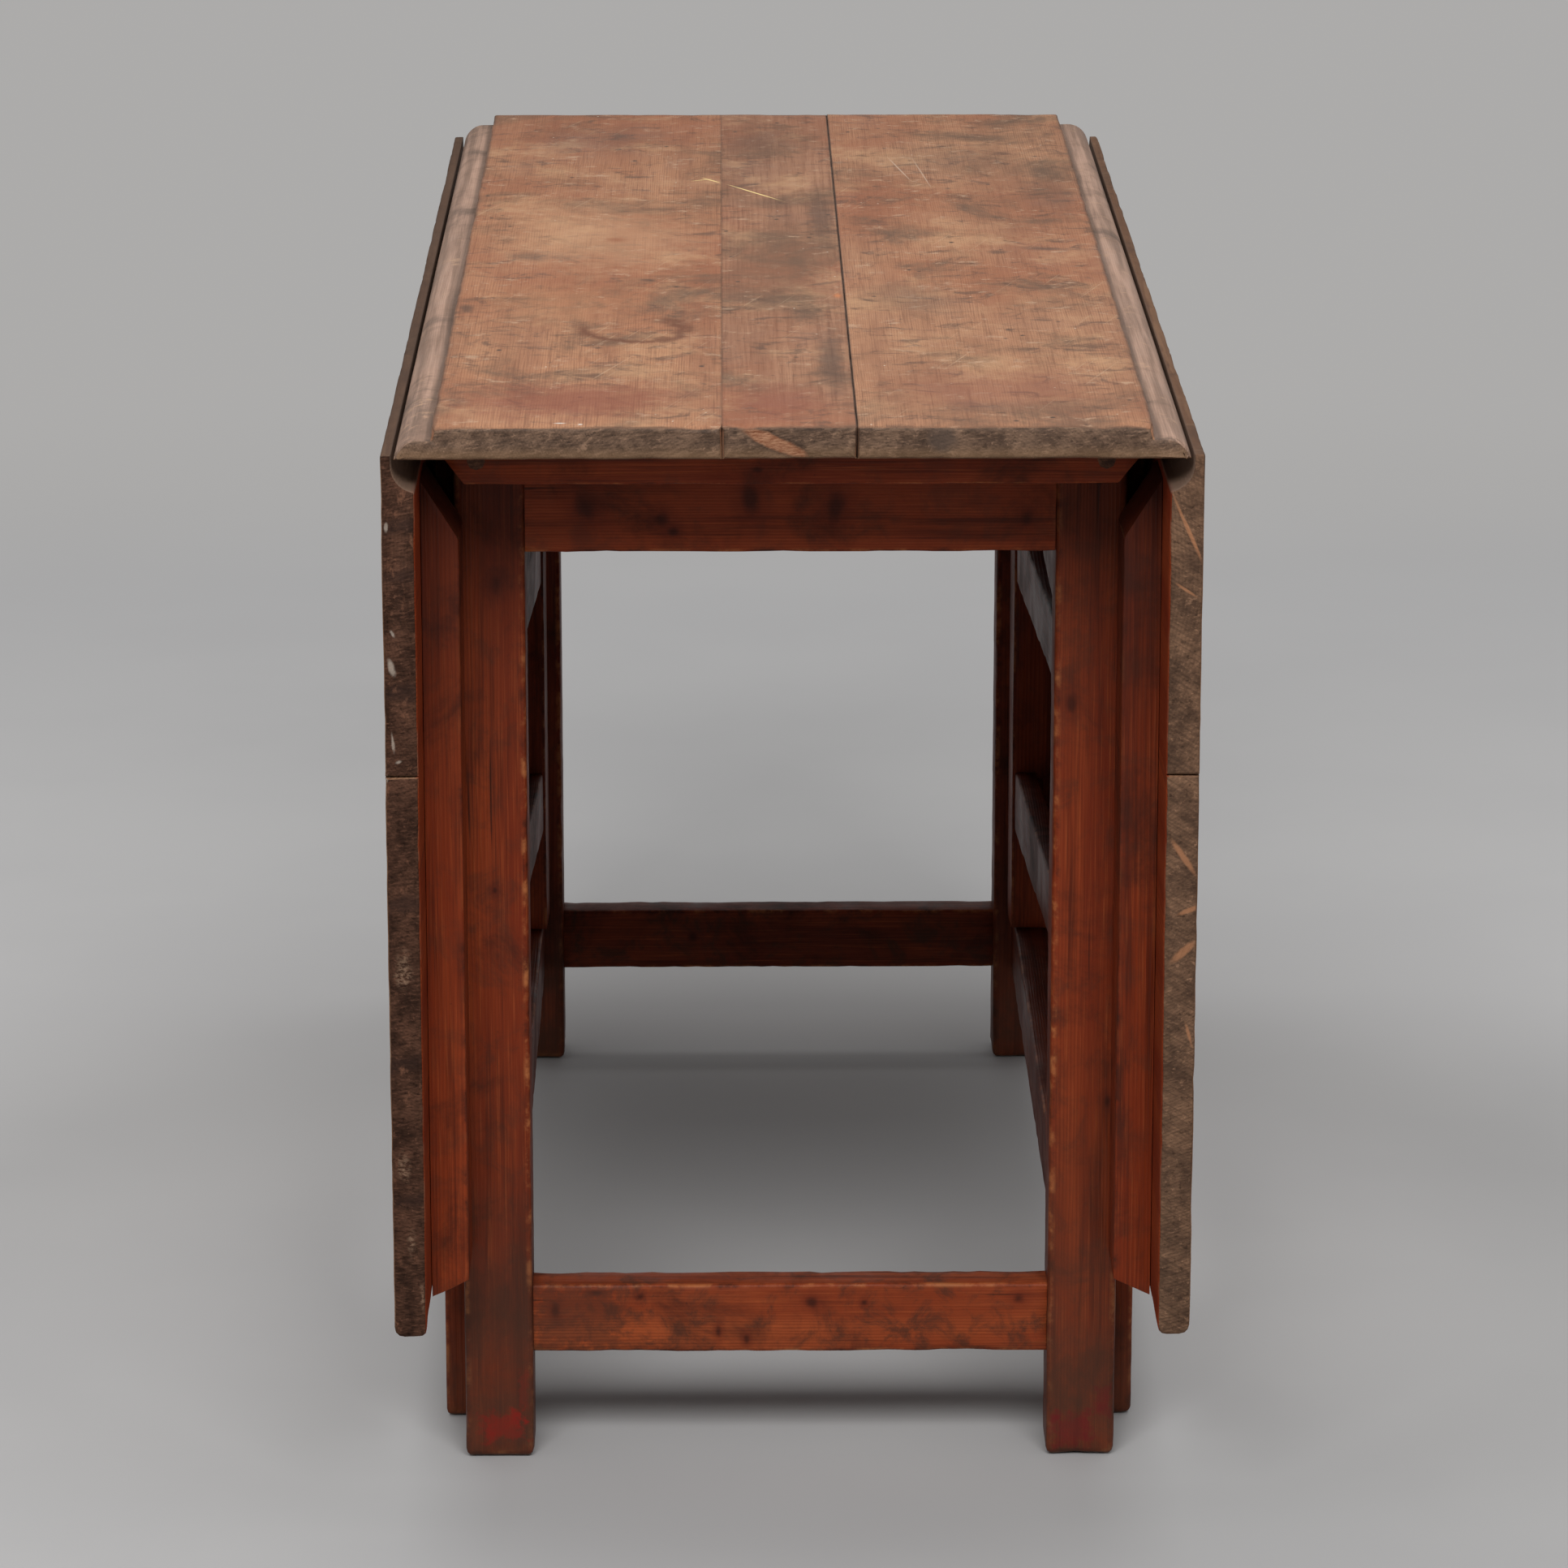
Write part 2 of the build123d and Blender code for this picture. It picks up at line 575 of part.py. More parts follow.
def build_hinges():
    """Two wrought hinges for each leaf: top plate, leaf plate and pin."""
    for place, hinge_y in zip(("front", "rear"), HINGE_PLACES):
        half = HINGE_BARREL_LENGTH / 2
        pin = rod_y(HINGE_PIN_RADIUS, HINGE_X, HINGE_Z, hinge_y - half, hinge_y + half)
        pieces = {
            "top_plate": top_hinge_plate(hinge_y),
            "leaf_plate": leaf_hinge_plate(hinge_y),
            "pin": pin,
        }
        for name, piece in pieces.items():
            save(f"hinge_right_{place}_{name}", piece)
            save(f"hinge_left_{place}_{name}", flip_x(piece))


# Gates, drawn closed with the pivot at the origin and the gate along -Y
def place_gate(shape):
    """Turn a right-hand gate piece to its resting angle and set it on its pivot."""
    return Pos(GATE_PIVOT_X, GATE_PIVOT_Y, 0) * Rot(0, 0, GATE_REST_ANGLE) * shape


def gate_rail(z0, height, grow=0.0):
    """A gate rail with its tenons, or the two mortise cutters when grown."""
    post_inner = -GATE_POST_THICKNESS / 2 + GATE_RAIL_POST_INSET
    leg_inner = GATE_LEG_OUTER_FACE - GATE_RAIL_LEG_INSET - GATE_RAIL_THICKNESS
    near = -GATE_POST_WIDTH / 2
    far = -GATE_LEG_REACH
    z1 = z0 + height
    tenons = []
    for inner, face, step in ((post_inner, near, 1), (leg_inner, far, -1)):
        middle = inner + GATE_RAIL_THICKNESS / 2
        tip = face + step * (GATE_TENON_LENGTH + grow)
        tenons.append(
            block(
                middle - GATE_TENON_THICKNESS / 2 - grow,
                middle + GATE_TENON_THICKNESS / 2 + grow,
                min(face, tip),
                max(face, tip),
                z0 + GATE_TENON_SHOULDER - grow,
                z1 - GATE_TENON_SHOULDER + grow,
            )
        )
    if grow:
        return tenons
    corners = [
        (post_inner, near),
        (post_inner + GATE_RAIL_THICKNESS, near),
        (leg_inner + GATE_RAIL_THICKNESS, far),
        (leg_inner, far),
    ]
    return polygon_z(corners, z0, z1) + tenons


GATE_RAILS = {
    "upper_rail": (GATE_UPPER_RAIL_BOTTOM, GATE_UPPER_RAIL_HEIGHT),
    "lower_rail": (GATE_LOWER_RAIL_BOTTOM, GATE_LOWER_RAIL_HEIGHT),
}


def gate_mortises():
    """Cutters for every tenon of the two gate rails."""
    cutters = []
    for z0, height in GATE_RAILS.values():
        cutters.extend(gate_rail(z0, height, TENON_CLEARANCE))
    return cutters


def gate_post():
    """Pivot post between the side rails, with a turned pin at each end."""
    half_x = GATE_POST_THICKNESS / 2
    half_y = GATE_POST_WIDTH / 2
    bottom = SIDE_STRETCHER_TOP
    top = SIDE_APRON_BOTTOM - GATE_POST_TOP_CLEARANCE
    post = ease(block(-half_x, half_x, -half_y, half_y, bottom, top), Axis.Z, RAIL_EDGE_CHAMFER)
    pins = rod_z(GATE_PIN_RADIUS, 0, 0, bottom - GATE_PIN_LENGTH, top + GATE_PIN_LENGTH)
    return post + pins - gate_mortises()


def gate_leg():
    """Swinging leg, half lapped to pass the stretcher and the apron."""
    outer = GATE_LEG_OUTER_FACE
    inner = outer - GATE_LEG_THICKNESS
    near = -GATE_LEG_REACH - GATE_LEG_WIDTH
    top = UNDERSIDE - GATE_LEG_TOP_CLEARANCE
    leg = block(inner, outer, near, -GATE_LEG_REACH, 0, top)
    leg = chamfer(leg.edges().group_by(Axis.Z)[0], FOOT_CHAMFER)
    leg = soften(leg, Axis.Z, LEG_EDGE_ROUND)
    lap_face = SIDE_RAIL_OUTER_X - LAP_DEPTH_IN_RAIL + LAP_FACE_CLEARANCE - GATE_PIVOT_X
    laps = (
        (SIDE_STRETCHER_BOTTOM - LAP_SIDE_CLEARANCE, SIDE_STRETCHER_TOP + LAP_SIDE_CLEARANCE),
        (SIDE_APRON_BOTTOM - LAP_SIDE_CLEARANCE, UNDERSIDE),
    )
    for z0, z1 in laps:
        leg = leg - block(inner - 1, lap_face, near - 1, -GATE_LEG_REACH + 1, z0, z1)
    return leg - gate_mortises()


def build_gates():
    """One gate each side: pivot post, two rails and a leg."""
    pieces = {"post": gate_post(), "leg": gate_leg()}
    for name, (z0, height) in GATE_RAILS.items():
        pieces[name] = gate_rail(z0, height)
    for name, piece in pieces.items():
        placed = place_gate(piece)
        save(f"gate_right_{name}", placed)
        save(f"gate_left_{name}", flip_x(placed))


build_top()
build_top_battens()
build_pegs()
build_rails()
build_legs()
build_leaf_boards()
build_leaf_battens()
build_hinges()
build_gates()
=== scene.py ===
import math

import bmesh
import bpy
from mathutils import Matrix, Vector, noise


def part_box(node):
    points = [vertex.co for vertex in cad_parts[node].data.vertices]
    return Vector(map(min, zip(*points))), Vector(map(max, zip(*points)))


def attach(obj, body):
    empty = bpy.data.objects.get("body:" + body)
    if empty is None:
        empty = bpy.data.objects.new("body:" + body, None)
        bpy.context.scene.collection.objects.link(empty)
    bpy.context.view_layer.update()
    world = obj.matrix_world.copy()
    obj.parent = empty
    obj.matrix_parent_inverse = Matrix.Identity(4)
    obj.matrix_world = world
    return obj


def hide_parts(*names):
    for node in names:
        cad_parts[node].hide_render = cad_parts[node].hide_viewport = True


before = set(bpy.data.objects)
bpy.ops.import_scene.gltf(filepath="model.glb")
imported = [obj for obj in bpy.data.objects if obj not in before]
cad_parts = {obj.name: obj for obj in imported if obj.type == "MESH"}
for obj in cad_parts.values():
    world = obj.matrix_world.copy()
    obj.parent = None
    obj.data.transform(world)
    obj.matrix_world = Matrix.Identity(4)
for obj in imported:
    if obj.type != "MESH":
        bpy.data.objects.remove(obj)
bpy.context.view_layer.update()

# Sizes repeated from the CAD, in metres
TOP_Z = 0.750
UNDER_Z = 0.728
HALF_LENGTH = 0.6075
FLAT_X = 0.230
HINGE_X = 0.2375
HINGE_Z = 0.725
OVOLO_R = 0.017
COVE_R = 0.0176
LEAF_IN_X = 0.2405
LEAF_OUT_X = 0.2625
LEG_IN_X = 0.175
LEG_IN_Y = 0.424
RAIL_OUT_X = 0.218
LAP_X = 0.204
LAP_Y = (-0.396, -0.342)
HINGE_Y = (-0.230, 0.230)
PIVOT = (0.205, 0.390)
GATE_REST = math.radians(1.1489)
LEAF_BATTEN_X = 0.2155

# Sizes of the worn pieces only
CAP_IN = 0.0012  # how far the middle of an end face lies inside its rounded edge
FULL_WEAR_CUT = 0.002  # corners cut by this much or more wear fully
LEAST_CUT = 0.00015
QUARTER = ((0.0, 1.0), (0.134, 0.5), (0.5, 0.134), (1.0, 0.0))
ARC_STEPS = 9
SMALL_STEP = 0.0002  # length over which a section changes at a notch
INTO_LEG = 0.0005  # how far a rail runs into its leg
HIDDEN_ENDS = (0.0004, 0.0004)


def add_object(name, data):
    obj = bpy.data.objects.new(name, data)
    bpy.context.scene.collection.objects.link(obj)
    return obj


# Meshes: each wooden piece is a run of rounded sections along its grain
def inset(corners, s):
    """Move every side of a polygon inwards by s."""
    if s == 0:
        return [Vector(c) for c in corners]
    area = 0.0
    n = len(corners)
    for i in range(n):
        a, b = corners[i], corners[(i + 1) % n]
        area += a[0] * b[1] - b[0] * a[1]
    sign = 1 if area > 0 else -1
    out = []
    for i in range(n):
        a, b, c = Vector(corners[i - 1]), Vector(corners[i]), Vector(corners[(i + 1) % n])
        d1 = (b - a).normalized()
        d2 = (c - b).normalized()
        n1 = Vector((-d1.y, d1.x)) * sign
        n2 = Vector((-d2.y, d2.x)) * sign
        out.append(b + (n1 + n2) / max(0.3, 1 + n1.dot(n2)) * s)
    return out


def ring(corners, cuts, step, counts, weights):
    """Points round a polygon with rounded corners and divided sides, as (u, v, edge)."""
    n = len(corners)
    entry, leave = [], []
    for i in range(n):
        a, b, c = corners[i - 1], corners[i], corners[(i + 1) % n]
        entry.append(b + (a - b).normalized() * cuts[i])
        leave.append(b + (c - b).normalized() * cuts[i])
    first = not counts
    pts = []
    for i in range(n):
        if cuts[i] > 0:
            for t, e in ((0, 0.55), (0.33, 1), (0.67, 1), (1, 0.55)):
                p = entry[i].lerp(corners[i], t).lerp(corners[i].lerp(leave[i], t), t)
                pts.append((p.x, p.y, e * weights[i]))
        else:
            pts.append((corners[i].x, corners[i].y, 0.0))
        j = (i + 1) % n
        length = (entry[j] - leave[i]).length
        if first:
            counts.append(max(1, round(length / step)))
        k = counts[i]
        fractions = [m / k for m in range(1, k)]
        if k >= 4:
            near = min(0.2, 0.0035 / max(length, 1e-6))
            fractions = [near] + fractions[1:-1] + [1 - near]
        for f in fractions:
            p = leave[i].lerp(entry[j], f)
            pts.append((p.x, p.y, 0.0))
    return pts


def stretch(stations, step):
    """Add sections between the given ones so that none are further apart than step."""
    out = []
    for (t0, c0), (t1, c1) in zip(stations, stations[1:]):
        k = max(1, math.ceil(abs(t1 - t0) / step))
        for m in range(k):
            f = m / k
            out.append((t0 + (t1 - t0) * f, [Vector(a).lerp(Vector(b), f) for a, b in zip(c0, c1)]))
    out.append((stations[-1][0], [Vector(c) for c in stations[-1][1]]))
    return out


def plank(name, axis, stations, cuts, seed, ends=(0.001, 0.001), step=0.008, along=0.009,
          flat=0.00035, wear=0.0012, remap=None, place=None, dents=()):
    """A worn wooden piece: rounded sections lofted along the grain, edges and faces worn inwards only."""
    counts = []
    t_first, t_last = stations[0][0], stations[-1][0]
    c_first, c_last = ([Vector(c) for c in stations[i][1]] for i in (0, -1))
    weights = [min(1.0, c / FULL_WEAR_CUT) ** 2 for c in cuts]
    ring(c_first, cuts, step, counts, weights)
    sections = [(t_first, c_first, ends[0] + CAP_IN, 0.3)]
    for go, cut in QUARTER:
        sections.append((t_first + go * ends[0], c_first, cut * ends[0], 1.0 if go < 1 else 0.5))
    inner = [(t_first + ends[0], c_first)] + list(stations[1:-1]) + [(t_last - ends[1], c_last)]
    for t, corners in stretch(inner, along)[1:-1]:
        sections.append((t, corners, 0.0, 0.0))
    for go, cut in reversed(QUARTER):
        sections.append((t_last - go * ends[1], c_last, cut * ends[1], 1.0 if go < 1 else 0.5))
    sections.append((t_last, c_last, ends[1] + CAP_IN, 0.3))

    verts, flags = [], []
    size = 0
    for t, corners, s, flag in sections:
        tight = [max(c - 0.8 * s, LEAST_CUT) if c > 0 else 0.0 for c in cuts]
        points = ring(inset(corners, s), tight, step, counts, weights)
        size = len(points)
        for u, v, e in points:
            p = {"X": (t, u, v), "Y": (u, t, v), "Z": (u, v, t)}[axis]
            verts.append(Vector(p))
            flags.append(max(e, flag))
    faces = []
    for r in range(len(sections) - 1):
        a = r * size
        for i in range(size):
            j = (i + 1) % size
            faces.append((a + i, a + j, a + size + j, a + size + i))
    faces.append(tuple(range(size)))
    faces.append(tuple(range((len(sections) - 1) * size, len(sections) * size)))
    if remap:
        verts = [remap(p) for p in verts]

    mesh = bpy.data.meshes.new(f"worn_{name}")
    mesh.from_pydata(verts, [], faces)
    bm = bmesh.new()
    bm.from_mesh(mesh)
    bmesh.ops.recalc_face_normals(bm, faces=bm.faces)
    if bm.calc_volume(signed=True) < 0:
        bmesh.ops.reverse_faces(bm, faces=bm.faces)
    bm.normal_update()
    low = [min(p[i] for p in verts) for i in range(3)]
    high = [max(p[i] for p in verts) for i in range(3)]
    shift = Vector((seed * 3.17, seed * 1.73, seed * 2.41))
    squeeze = {"X": (0.15, 1, 1), "Y": (1, 0.15, 1), "Z": (1, 1, 0.15)}[axis]
    moved = []
    for v, e in zip(bm.verts, flags):
        g = Vector((v.co.x * squeeze[0], v.co.y * squeeze[1], v.co.z * squeeze[2]))
        slow = 0.5 + 0.5 * noise.noise(g * 14 + shift)
        fine = 0.5 + 0.5 * noise.noise(g * 90 + shift)
        bite = max(0.0, noise.noise(v.co * 32 + shift) + 0.1)
        nick = max(0.0, noise.noise(v.co * 110 + shift) - 0.15)
        depth = flat * (0.7 * slow + 0.3 * fine) + e * wear * (0.9 * bite + 1.1 * nick)
        for centre, radius, deep in dents:
            far = (v.co - Vector(centre)).length / radius
            if far < 1:
                depth += deep * (1 - far * far) ** 2
        p = v.co - v.normal * depth
        moved.append(Vector([min(max(p[i], low[i]), high[i]) for i in range(3)]))
    for v, p in zip(bm.verts, moved):
        v.co = p
    if place:
        bmesh.ops.transform(bm, matrix=place, verts=bm.verts)
    bm.to_mesh(mesh)
    bm.free()
    edge = mesh.attributes.new("edge", "FLOAT", "POINT")
    edge.data.foreach_set("value", flags)
    mesh.shade_smooth()
    mesh.set_sharp_from_angle(angle=math.radians(55))
    return add_object(mesh.name, mesh)


def box_corners(u0, u1, v0, v1):
    return [(u0, v0), (u1, v0), (u1, v1), (u0, v1)]


def straight(t0, t1, shape):
    """Stations of a piece with one section from end to end."""
    return [(t0, shape), (t1, shape)]


def scaled(values, k):
    return tuple(v * k for v in values)


# Material nodes
class Graph:
    """Short names for the shader nodes that the materials use."""

    def __init__(self, name):
        self.material = bpy.data.materials.new(name)
        self.material.use_nodes = True
        self.tree = self.material.node_tree
        self.tree.nodes.clear()
        self.out = self.tree.nodes.new("ShaderNodeOutputMaterial")
        self.shader = self.tree.nodes.new("ShaderNodeBsdfPrincipled")
        self.tree.links.new(self.shader.outputs[0], self.out.inputs[0])
        self.co = self.tree.nodes.new("ShaderNodeTexCoord").outputs["Object"]
        self.x, self.y, self.z = self.split(self.co)

    def put(self, socket, value):
        if isinstance(value, bpy.types.NodeSocket):
            self.tree.links.new(value, socket)
        elif isinstance(value, (tuple, list)) and len(value) == 3 and socket.type == "RGBA":
            socket.default_value = (*value, 1.0)
        else:
            socket.default_value = value

    def split(self, vector):
        node = self.tree.nodes.new("ShaderNodeSeparateXYZ")
        self.put(node.inputs[0], vector)
        return node.outputs[0], node.outputs[1], node.outputs[2]

    def join(self, x, y, z):
        node = self.tree.nodes.new("ShaderNodeCombineXYZ")
        for socket, value in zip(node.inputs, (x, y, z)):
            self.put(socket, value)
        return node.outputs[0]

    def math(self, op, a, b=0.0):
        node = self.tree.nodes.new("ShaderNodeMath")
        node.operation = op
        self.put(node.inputs[0], a)
        self.put(node.inputs[1], b)
        return node.outputs[0]

    def add(self, a, b):
        return self.math("ADD", a, b)

    def sub(self, a, b):
        return self.math("SUBTRACT", a, b)

    def mul(self, a, b):
        return self.math("MULTIPLY", a, b)

    def abs(self, a):
        return self.math("ABSOLUTE", a)

    def weigh(self, a, ka, b, kb):
        return self.add(self.mul(a, ka), self.mul(b, kb))

    def hypot(self, a, b):
        return self.math("SQRT", self.add(self.mul(a, a), self.mul(b, b)))

    def axes(self, along):
        """The two coordinates across the grain and the one along it."""
        x, y, z = self.x, self.y, self.z
        return {"X": (y, z, x), "Y": (x, z, y), "Z": (x, y, z)}[along]

    def front(self):
        """1 on the front half of the table, 0 on the rear half."""
        return self.step(self.y, -0.1, 0.1, 1.0, 0.0)

    def step(self, value, low, high, to_low=0.0, to_high=1.0):
        node = self.tree.nodes.new("ShaderNodeMapRange")
        node.interpolation_type = "SMOOTHSTEP"
        for key, item in (("Value", value), ("From Min", low), ("From Max", high),
                          ("To Min", to_low), ("To Max", to_high)):
            self.put(node.inputs[key], item)
        return node.outputs[0]

    def noise(self, vector, scale, detail=4.0, rough=0.55, twist=0.0):
        node = self.tree.nodes.new("ShaderNodeTexNoise")
        self.put(node.inputs["Vector"], vector)
        self.put(node.inputs["Scale"], scale)
        self.put(node.inputs["Detail"], detail)
        self.put(node.inputs["Roughness"], rough)
        self.put(node.inputs["Distortion"], twist)
        return node.outputs[0]

    def spots(self, vector, scale):
        node = self.tree.nodes.new("ShaderNodeTexVoronoi")
        self.put(node.inputs["Vector"], vector)
        self.put(node.inputs["Scale"], scale)
        return node.outputs["Distance"]

    def mix(self, amount, a, b):
        node = self.tree.nodes.new("ShaderNodeMix")
        node.data_type = "RGBA"
        self.put(node.inputs["Factor"], amount)
        self.put(node.inputs[6], a)
        self.put(node.inputs[7], b)
        return node.outputs[2]

    def paint(self, under, mask, share, over):
        """Lay one colour on another, at most by the given share."""
        return self.mix(self.mul(mask, share), under, over)

    def cover(self, under, pattern, low, high, share, over):
        """Lay a colour on another where a pattern goes from low to high."""
        return self.mix(self.step(pattern, low, high, 0.0, share), under, over)

    def bump(self, height, strength, distance):
        node = self.tree.nodes.new("ShaderNodeBump")
        node.inputs["Strength"].default_value = strength
        node.inputs["Distance"].default_value = distance
        self.put(node.inputs["Height"], height)
        self.put(self.shader.inputs["Normal"], node.outputs[0])

    def edge(self):
        node = self.tree.nodes.new("ShaderNodeAttribute")
        node.attribute_name = "edge"
        return node.outputs["Fac"]

    def normal(self):
        node = self.tree.nodes.new("ShaderNodeTexCoord")
        return self.split(node.outputs["Normal"])

    def blot(self, p, q, centre, radii, angle=0.0, soft=0.4, wobble=0.0, hollow=0.0, square=False):
        """Mask of a spot, scratch or ring on the plane of p and q."""
        dp = self.sub(p, centre[0])
        dq = self.sub(q, centre[1])
        c, s = math.cos(angle), math.sin(angle)
        u = self.weigh(dp, c, dq, s)
        v = self.sub(self.mul(dq, c), self.mul(dp, s))
        u = self.mul(u, 1 / radii[0])
        v = self.mul(v, 1 / radii[1])
        if square:
            far = self.math("MAXIMUM", self.abs(u), self.abs(v))
        else:
            far = self.hypot(u, v)
        if wobble:
            ragged = self.noise(self.co, 140 if square else 55, 5, 0.65)
            far = self.add(far, self.mul(self.sub(ragged, 0.5), wobble))
        mask = self.step(far, 1 - soft, 1.0, 1.0, 0.0)
        if hollow:
            mask = self.mul(mask, self.step(far, hollow - 0.25, hollow))
        return mask


def grain(g, axis, seed, gap, heart):
    """Growth lines, fibres and slow tone of a board sawn along one axis."""
    a, b, l = g.axes(axis)
    slow = g.join(g.add(a, seed), b, g.add(g.mul(l, 0.10), seed * 0.71))
    warp = g.sub(g.noise(slow, 10, 3, 0.5), 0.5)
    da = g.add(g.sub(a, heart[0]), g.mul(warp, 0.016))
    db = g.sub(b, heart[1])
    far = g.hypot(da, db)
    tone = g.noise(slow, 26, 5, 0.62)
    wave = g.math("FRACT", g.add(g.mul(far, 1 / gap), g.mul(tone, 3.0)))
    late = g.mul(g.step(wave, 0.25, 0.85), g.step(wave, 0.88, 1.0, 1.0, 0.0))
    late = g.mul(late, g.step(tone, 0.34, 0.62, 0.25, 1.0))
    fibre = g.noise(g.join(a, b, g.mul(l, 0.016)), 900, 2, 0.6)
    streak = g.noise(g.join(a, b, g.add(g.mul(l, 0.035), seed)), 130, 4, 0.62)
    return late, fibre, streak, tone


def scratches(g, p, q, angle, seed):
    """Thin broken scratches in one direction."""
    fine, long = 460, 7.0
    c, s = math.cos(angle), math.sin(angle)
    u = g.weigh(p, c * long, q, s * long)
    v = g.weigh(p, -s * fine, q, c * fine)
    return g.step(g.noise(g.join(u, v, seed), 1.0, 1.0, 0.4), 0.70, 0.77)


def end_face(g, axis):
    """1 where a face looks along the grain, so shows end grain."""
    n = dict(zip("XYZ", g.normal()))[axis]
    return g.step(g.abs(n), 0.62, 0.8)


def end_grain(g, axis, seed, dark, light, strokes=1.0):
    """Sawn and knocked end grain: growth rings, grime and pale bruises."""
    a, b, _ = g.axes(axis)
    da = g.sub(a, 0.05 * math.sin(seed * 5))
    db = g.sub(b, 0.66 if axis == "Y" else 0.0)
    far = g.math("SQRT", g.add(g.mul(da, da), g.mul(g.mul(db, db), 1.6)))
    grime = g.noise(g.join(g.add(a, seed), b, 0.0), 42, 7, 0.7)
    grit = g.noise(g.join(a, g.add(b, seed), 0.0), 210, 4, 0.7)
    wave = g.math("FRACT", g.add(g.mul(far, 420), g.mul(grime, 2.4)))
    colour = g.mix(g.step(grime, 0.34, 0.66), dark, light)
    colour = g.mix(g.mul(g.step(wave, 0.2, 0.9), 0.2), colour, scaled(dark, 0.5))
    colour = g.cover(colour, grit, 0.44, 0.34, 0.6, scaled(dark, 0.4))
    colour = g.cover(colour, grit, 0.58, 0.7, 0.6, scaled(light, 1.7))
    scrape = g.noise(g.join(g.weigh(a, 150, b, 60), g.weigh(b, 620, a, -90), seed), 1.0, 3, 0.6)
    colour = g.cover(colour, scrape, 0.50, 0.66, 0.5 * strokes, scaled(dark, 0.4))
    colour = g.cover(colour, scrape, 0.45, 0.33, 0.4 * strokes, scaled(light, 1.6))
    bruise = g.noise(g.join(g.mul(a, 0.6), b, seed), 95, 5, 0.7, 0.6)
    colour = g.cover(colour, bruise, 0.62, 0.72, 0.55, scaled(light, 1.9))
    return colour, g.add(grit, g.mul(grime, 0.7))


def finish_wood(g, colour, height, rough_low, rough_high, rough_mask, bump, shine):
    """Connect a wood's colour, roughness and relief to its shader."""
    g.put(g.shader.inputs["Base Color"], colour)
    g.put(g.shader.inputs["Roughness"], g.step(rough_mask, 0.25, 0.75, rough_low, rough_high))
    g.shader.inputs["Specular IOR Level"].default_value = shine
    g.bump(height, bump, 0.0012)
    return g.material


# Colours of the marks
YELLOW = (0.78, 0.58, 0.25)
PALE = (0.52, 0.38, 0.28)
STAIN = (0.12, 0.045, 0.024)
SOOT = (0.075, 0.045, 0.032)

# Marks on the top boards: (kind, centre, radii, angle, colour, strength)
TOP_MARKS = {
    "left": [
        ("blot", (-0.13, 0.06), (0.10, 0.22), 0.1, (0.46, 0.26, 0.145), 0.4),
        ("blot", (-0.15, -0.20), (0.07, 0.10), 0.1, (0.40, 0.20, 0.10), 0.3),
        ("blot", (-0.14, 0.49), (0.09, 0.10), 0.0, SOOT, 0.3),
        ("line", (-0.053, 0.296), (0.017, 0.0014), -1.0, YELLOW, 0.85),
        ("line", (-0.060, 0.297), (0.012, 0.0012), 0.55, YELLOW, 0.7),
        ("ring", (-0.106, -0.285), (0.045, 0.062), 0.15, STAIN, 0.9),
        ("blot", (-0.185, -0.018), (0.020, 0.026), 0.3, SOOT, 0.55),
        ("blot", (-0.1215, 0.045), (0.012, 0.014), 0.0, (0.22, 0.07, 0.03), 0.6),
        ("blot", (-0.096, -0.113), (0.007, 0.011), 0.8, SOOT, 0.6),
        ("blot", (-0.2215, -0.216), (0.007, 0.022), 0.1, SOOT, 0.7),
        ("blot", (-0.135, -0.345), (0.006, 0.006), 0.0, SOOT, 0.7),
        ("blot", (-0.128, -0.353), (0.004, 0.005), 0.0, SOOT, 0.7),
        ("blot", (-0.14, -0.525), (0.110, 0.080), 0.1, (0.19, 0.058, 0.034), 0.75),
        ("blot", (-0.148, -0.5945), (0.005, 0.002), 0.0, (0.7, 0.66, 0.6), 0.7),
        ("blot", (-0.135, -0.5976), (0.002, 0.002), 0.0, (0.7, 0.66, 0.6), 0.7),
    ],
    "centre": [
        ("line", (-0.019, 0.240), (0.052, 0.0013), -1.05, YELLOW, 0.95),
        ("blot", (0.030, 0.13), (0.016, 0.17), 0.0, SOOT, 0.62),
        ("blot", (0.028, -0.40), (0.014, 0.15), 0.0, SOOT, 0.72),
        ("blot", (0.000, 0.20), (0.050, 0.035), 0.2, SOOT, 0.45),
        ("blot", (-0.01, 0.47), (0.045, 0.10), 0.0, SOOT, 0.4),
        ("blot", (0.0, -0.05), (0.06, 0.22), 0.0, (0.16, 0.085, 0.05), 0.35),
        ("blot", (0.036, -0.17), (0.005, 0.012), 0.0, (0.5, 0.17, 0.06), 0.7),
        ("blot", (-0.005, -0.53), (0.042, 0.085), 0.0, (0.19, 0.058, 0.034), 0.6),
    ],
    "right": [
        ("line", (0.093, 0.347), (0.065, 0.0009), -1.43, PALE, 0.6),
        ("line", (0.110, 0.329), (0.083, 0.0008), -1.49, PALE, 0.5),
        ("line", (0.091, 0.320), (0.028, 0.0008), 0.55, PALE, 0.5),
        ("blot", (0.1555, -0.006), (0.010, 0.012), 0.0, SOOT, 0.65),
        ("blot", (0.190, 0.008), (0.024, 0.012), -0.3, SOOT, 0.6),
        ("blot", (0.085, -0.18), (0.045, 0.09), 0.2, SOOT, 0.38),
        ("blot", (0.14, 0.38), (0.07, 0.10), 0.1, SOOT, 0.32),
        ("blot", (0.205, 0.25), (0.03, 0.16), 0.0, SOOT, 0.35),
        ("blot", (0.15, -0.55), (0.09, 0.035), 0.0, SOOT, 0.42),
        ("blot", (0.13, -0.49), (0.100, 0.080), 0.0, (0.2, 0.066, 0.038), 0.45),
    ],
}

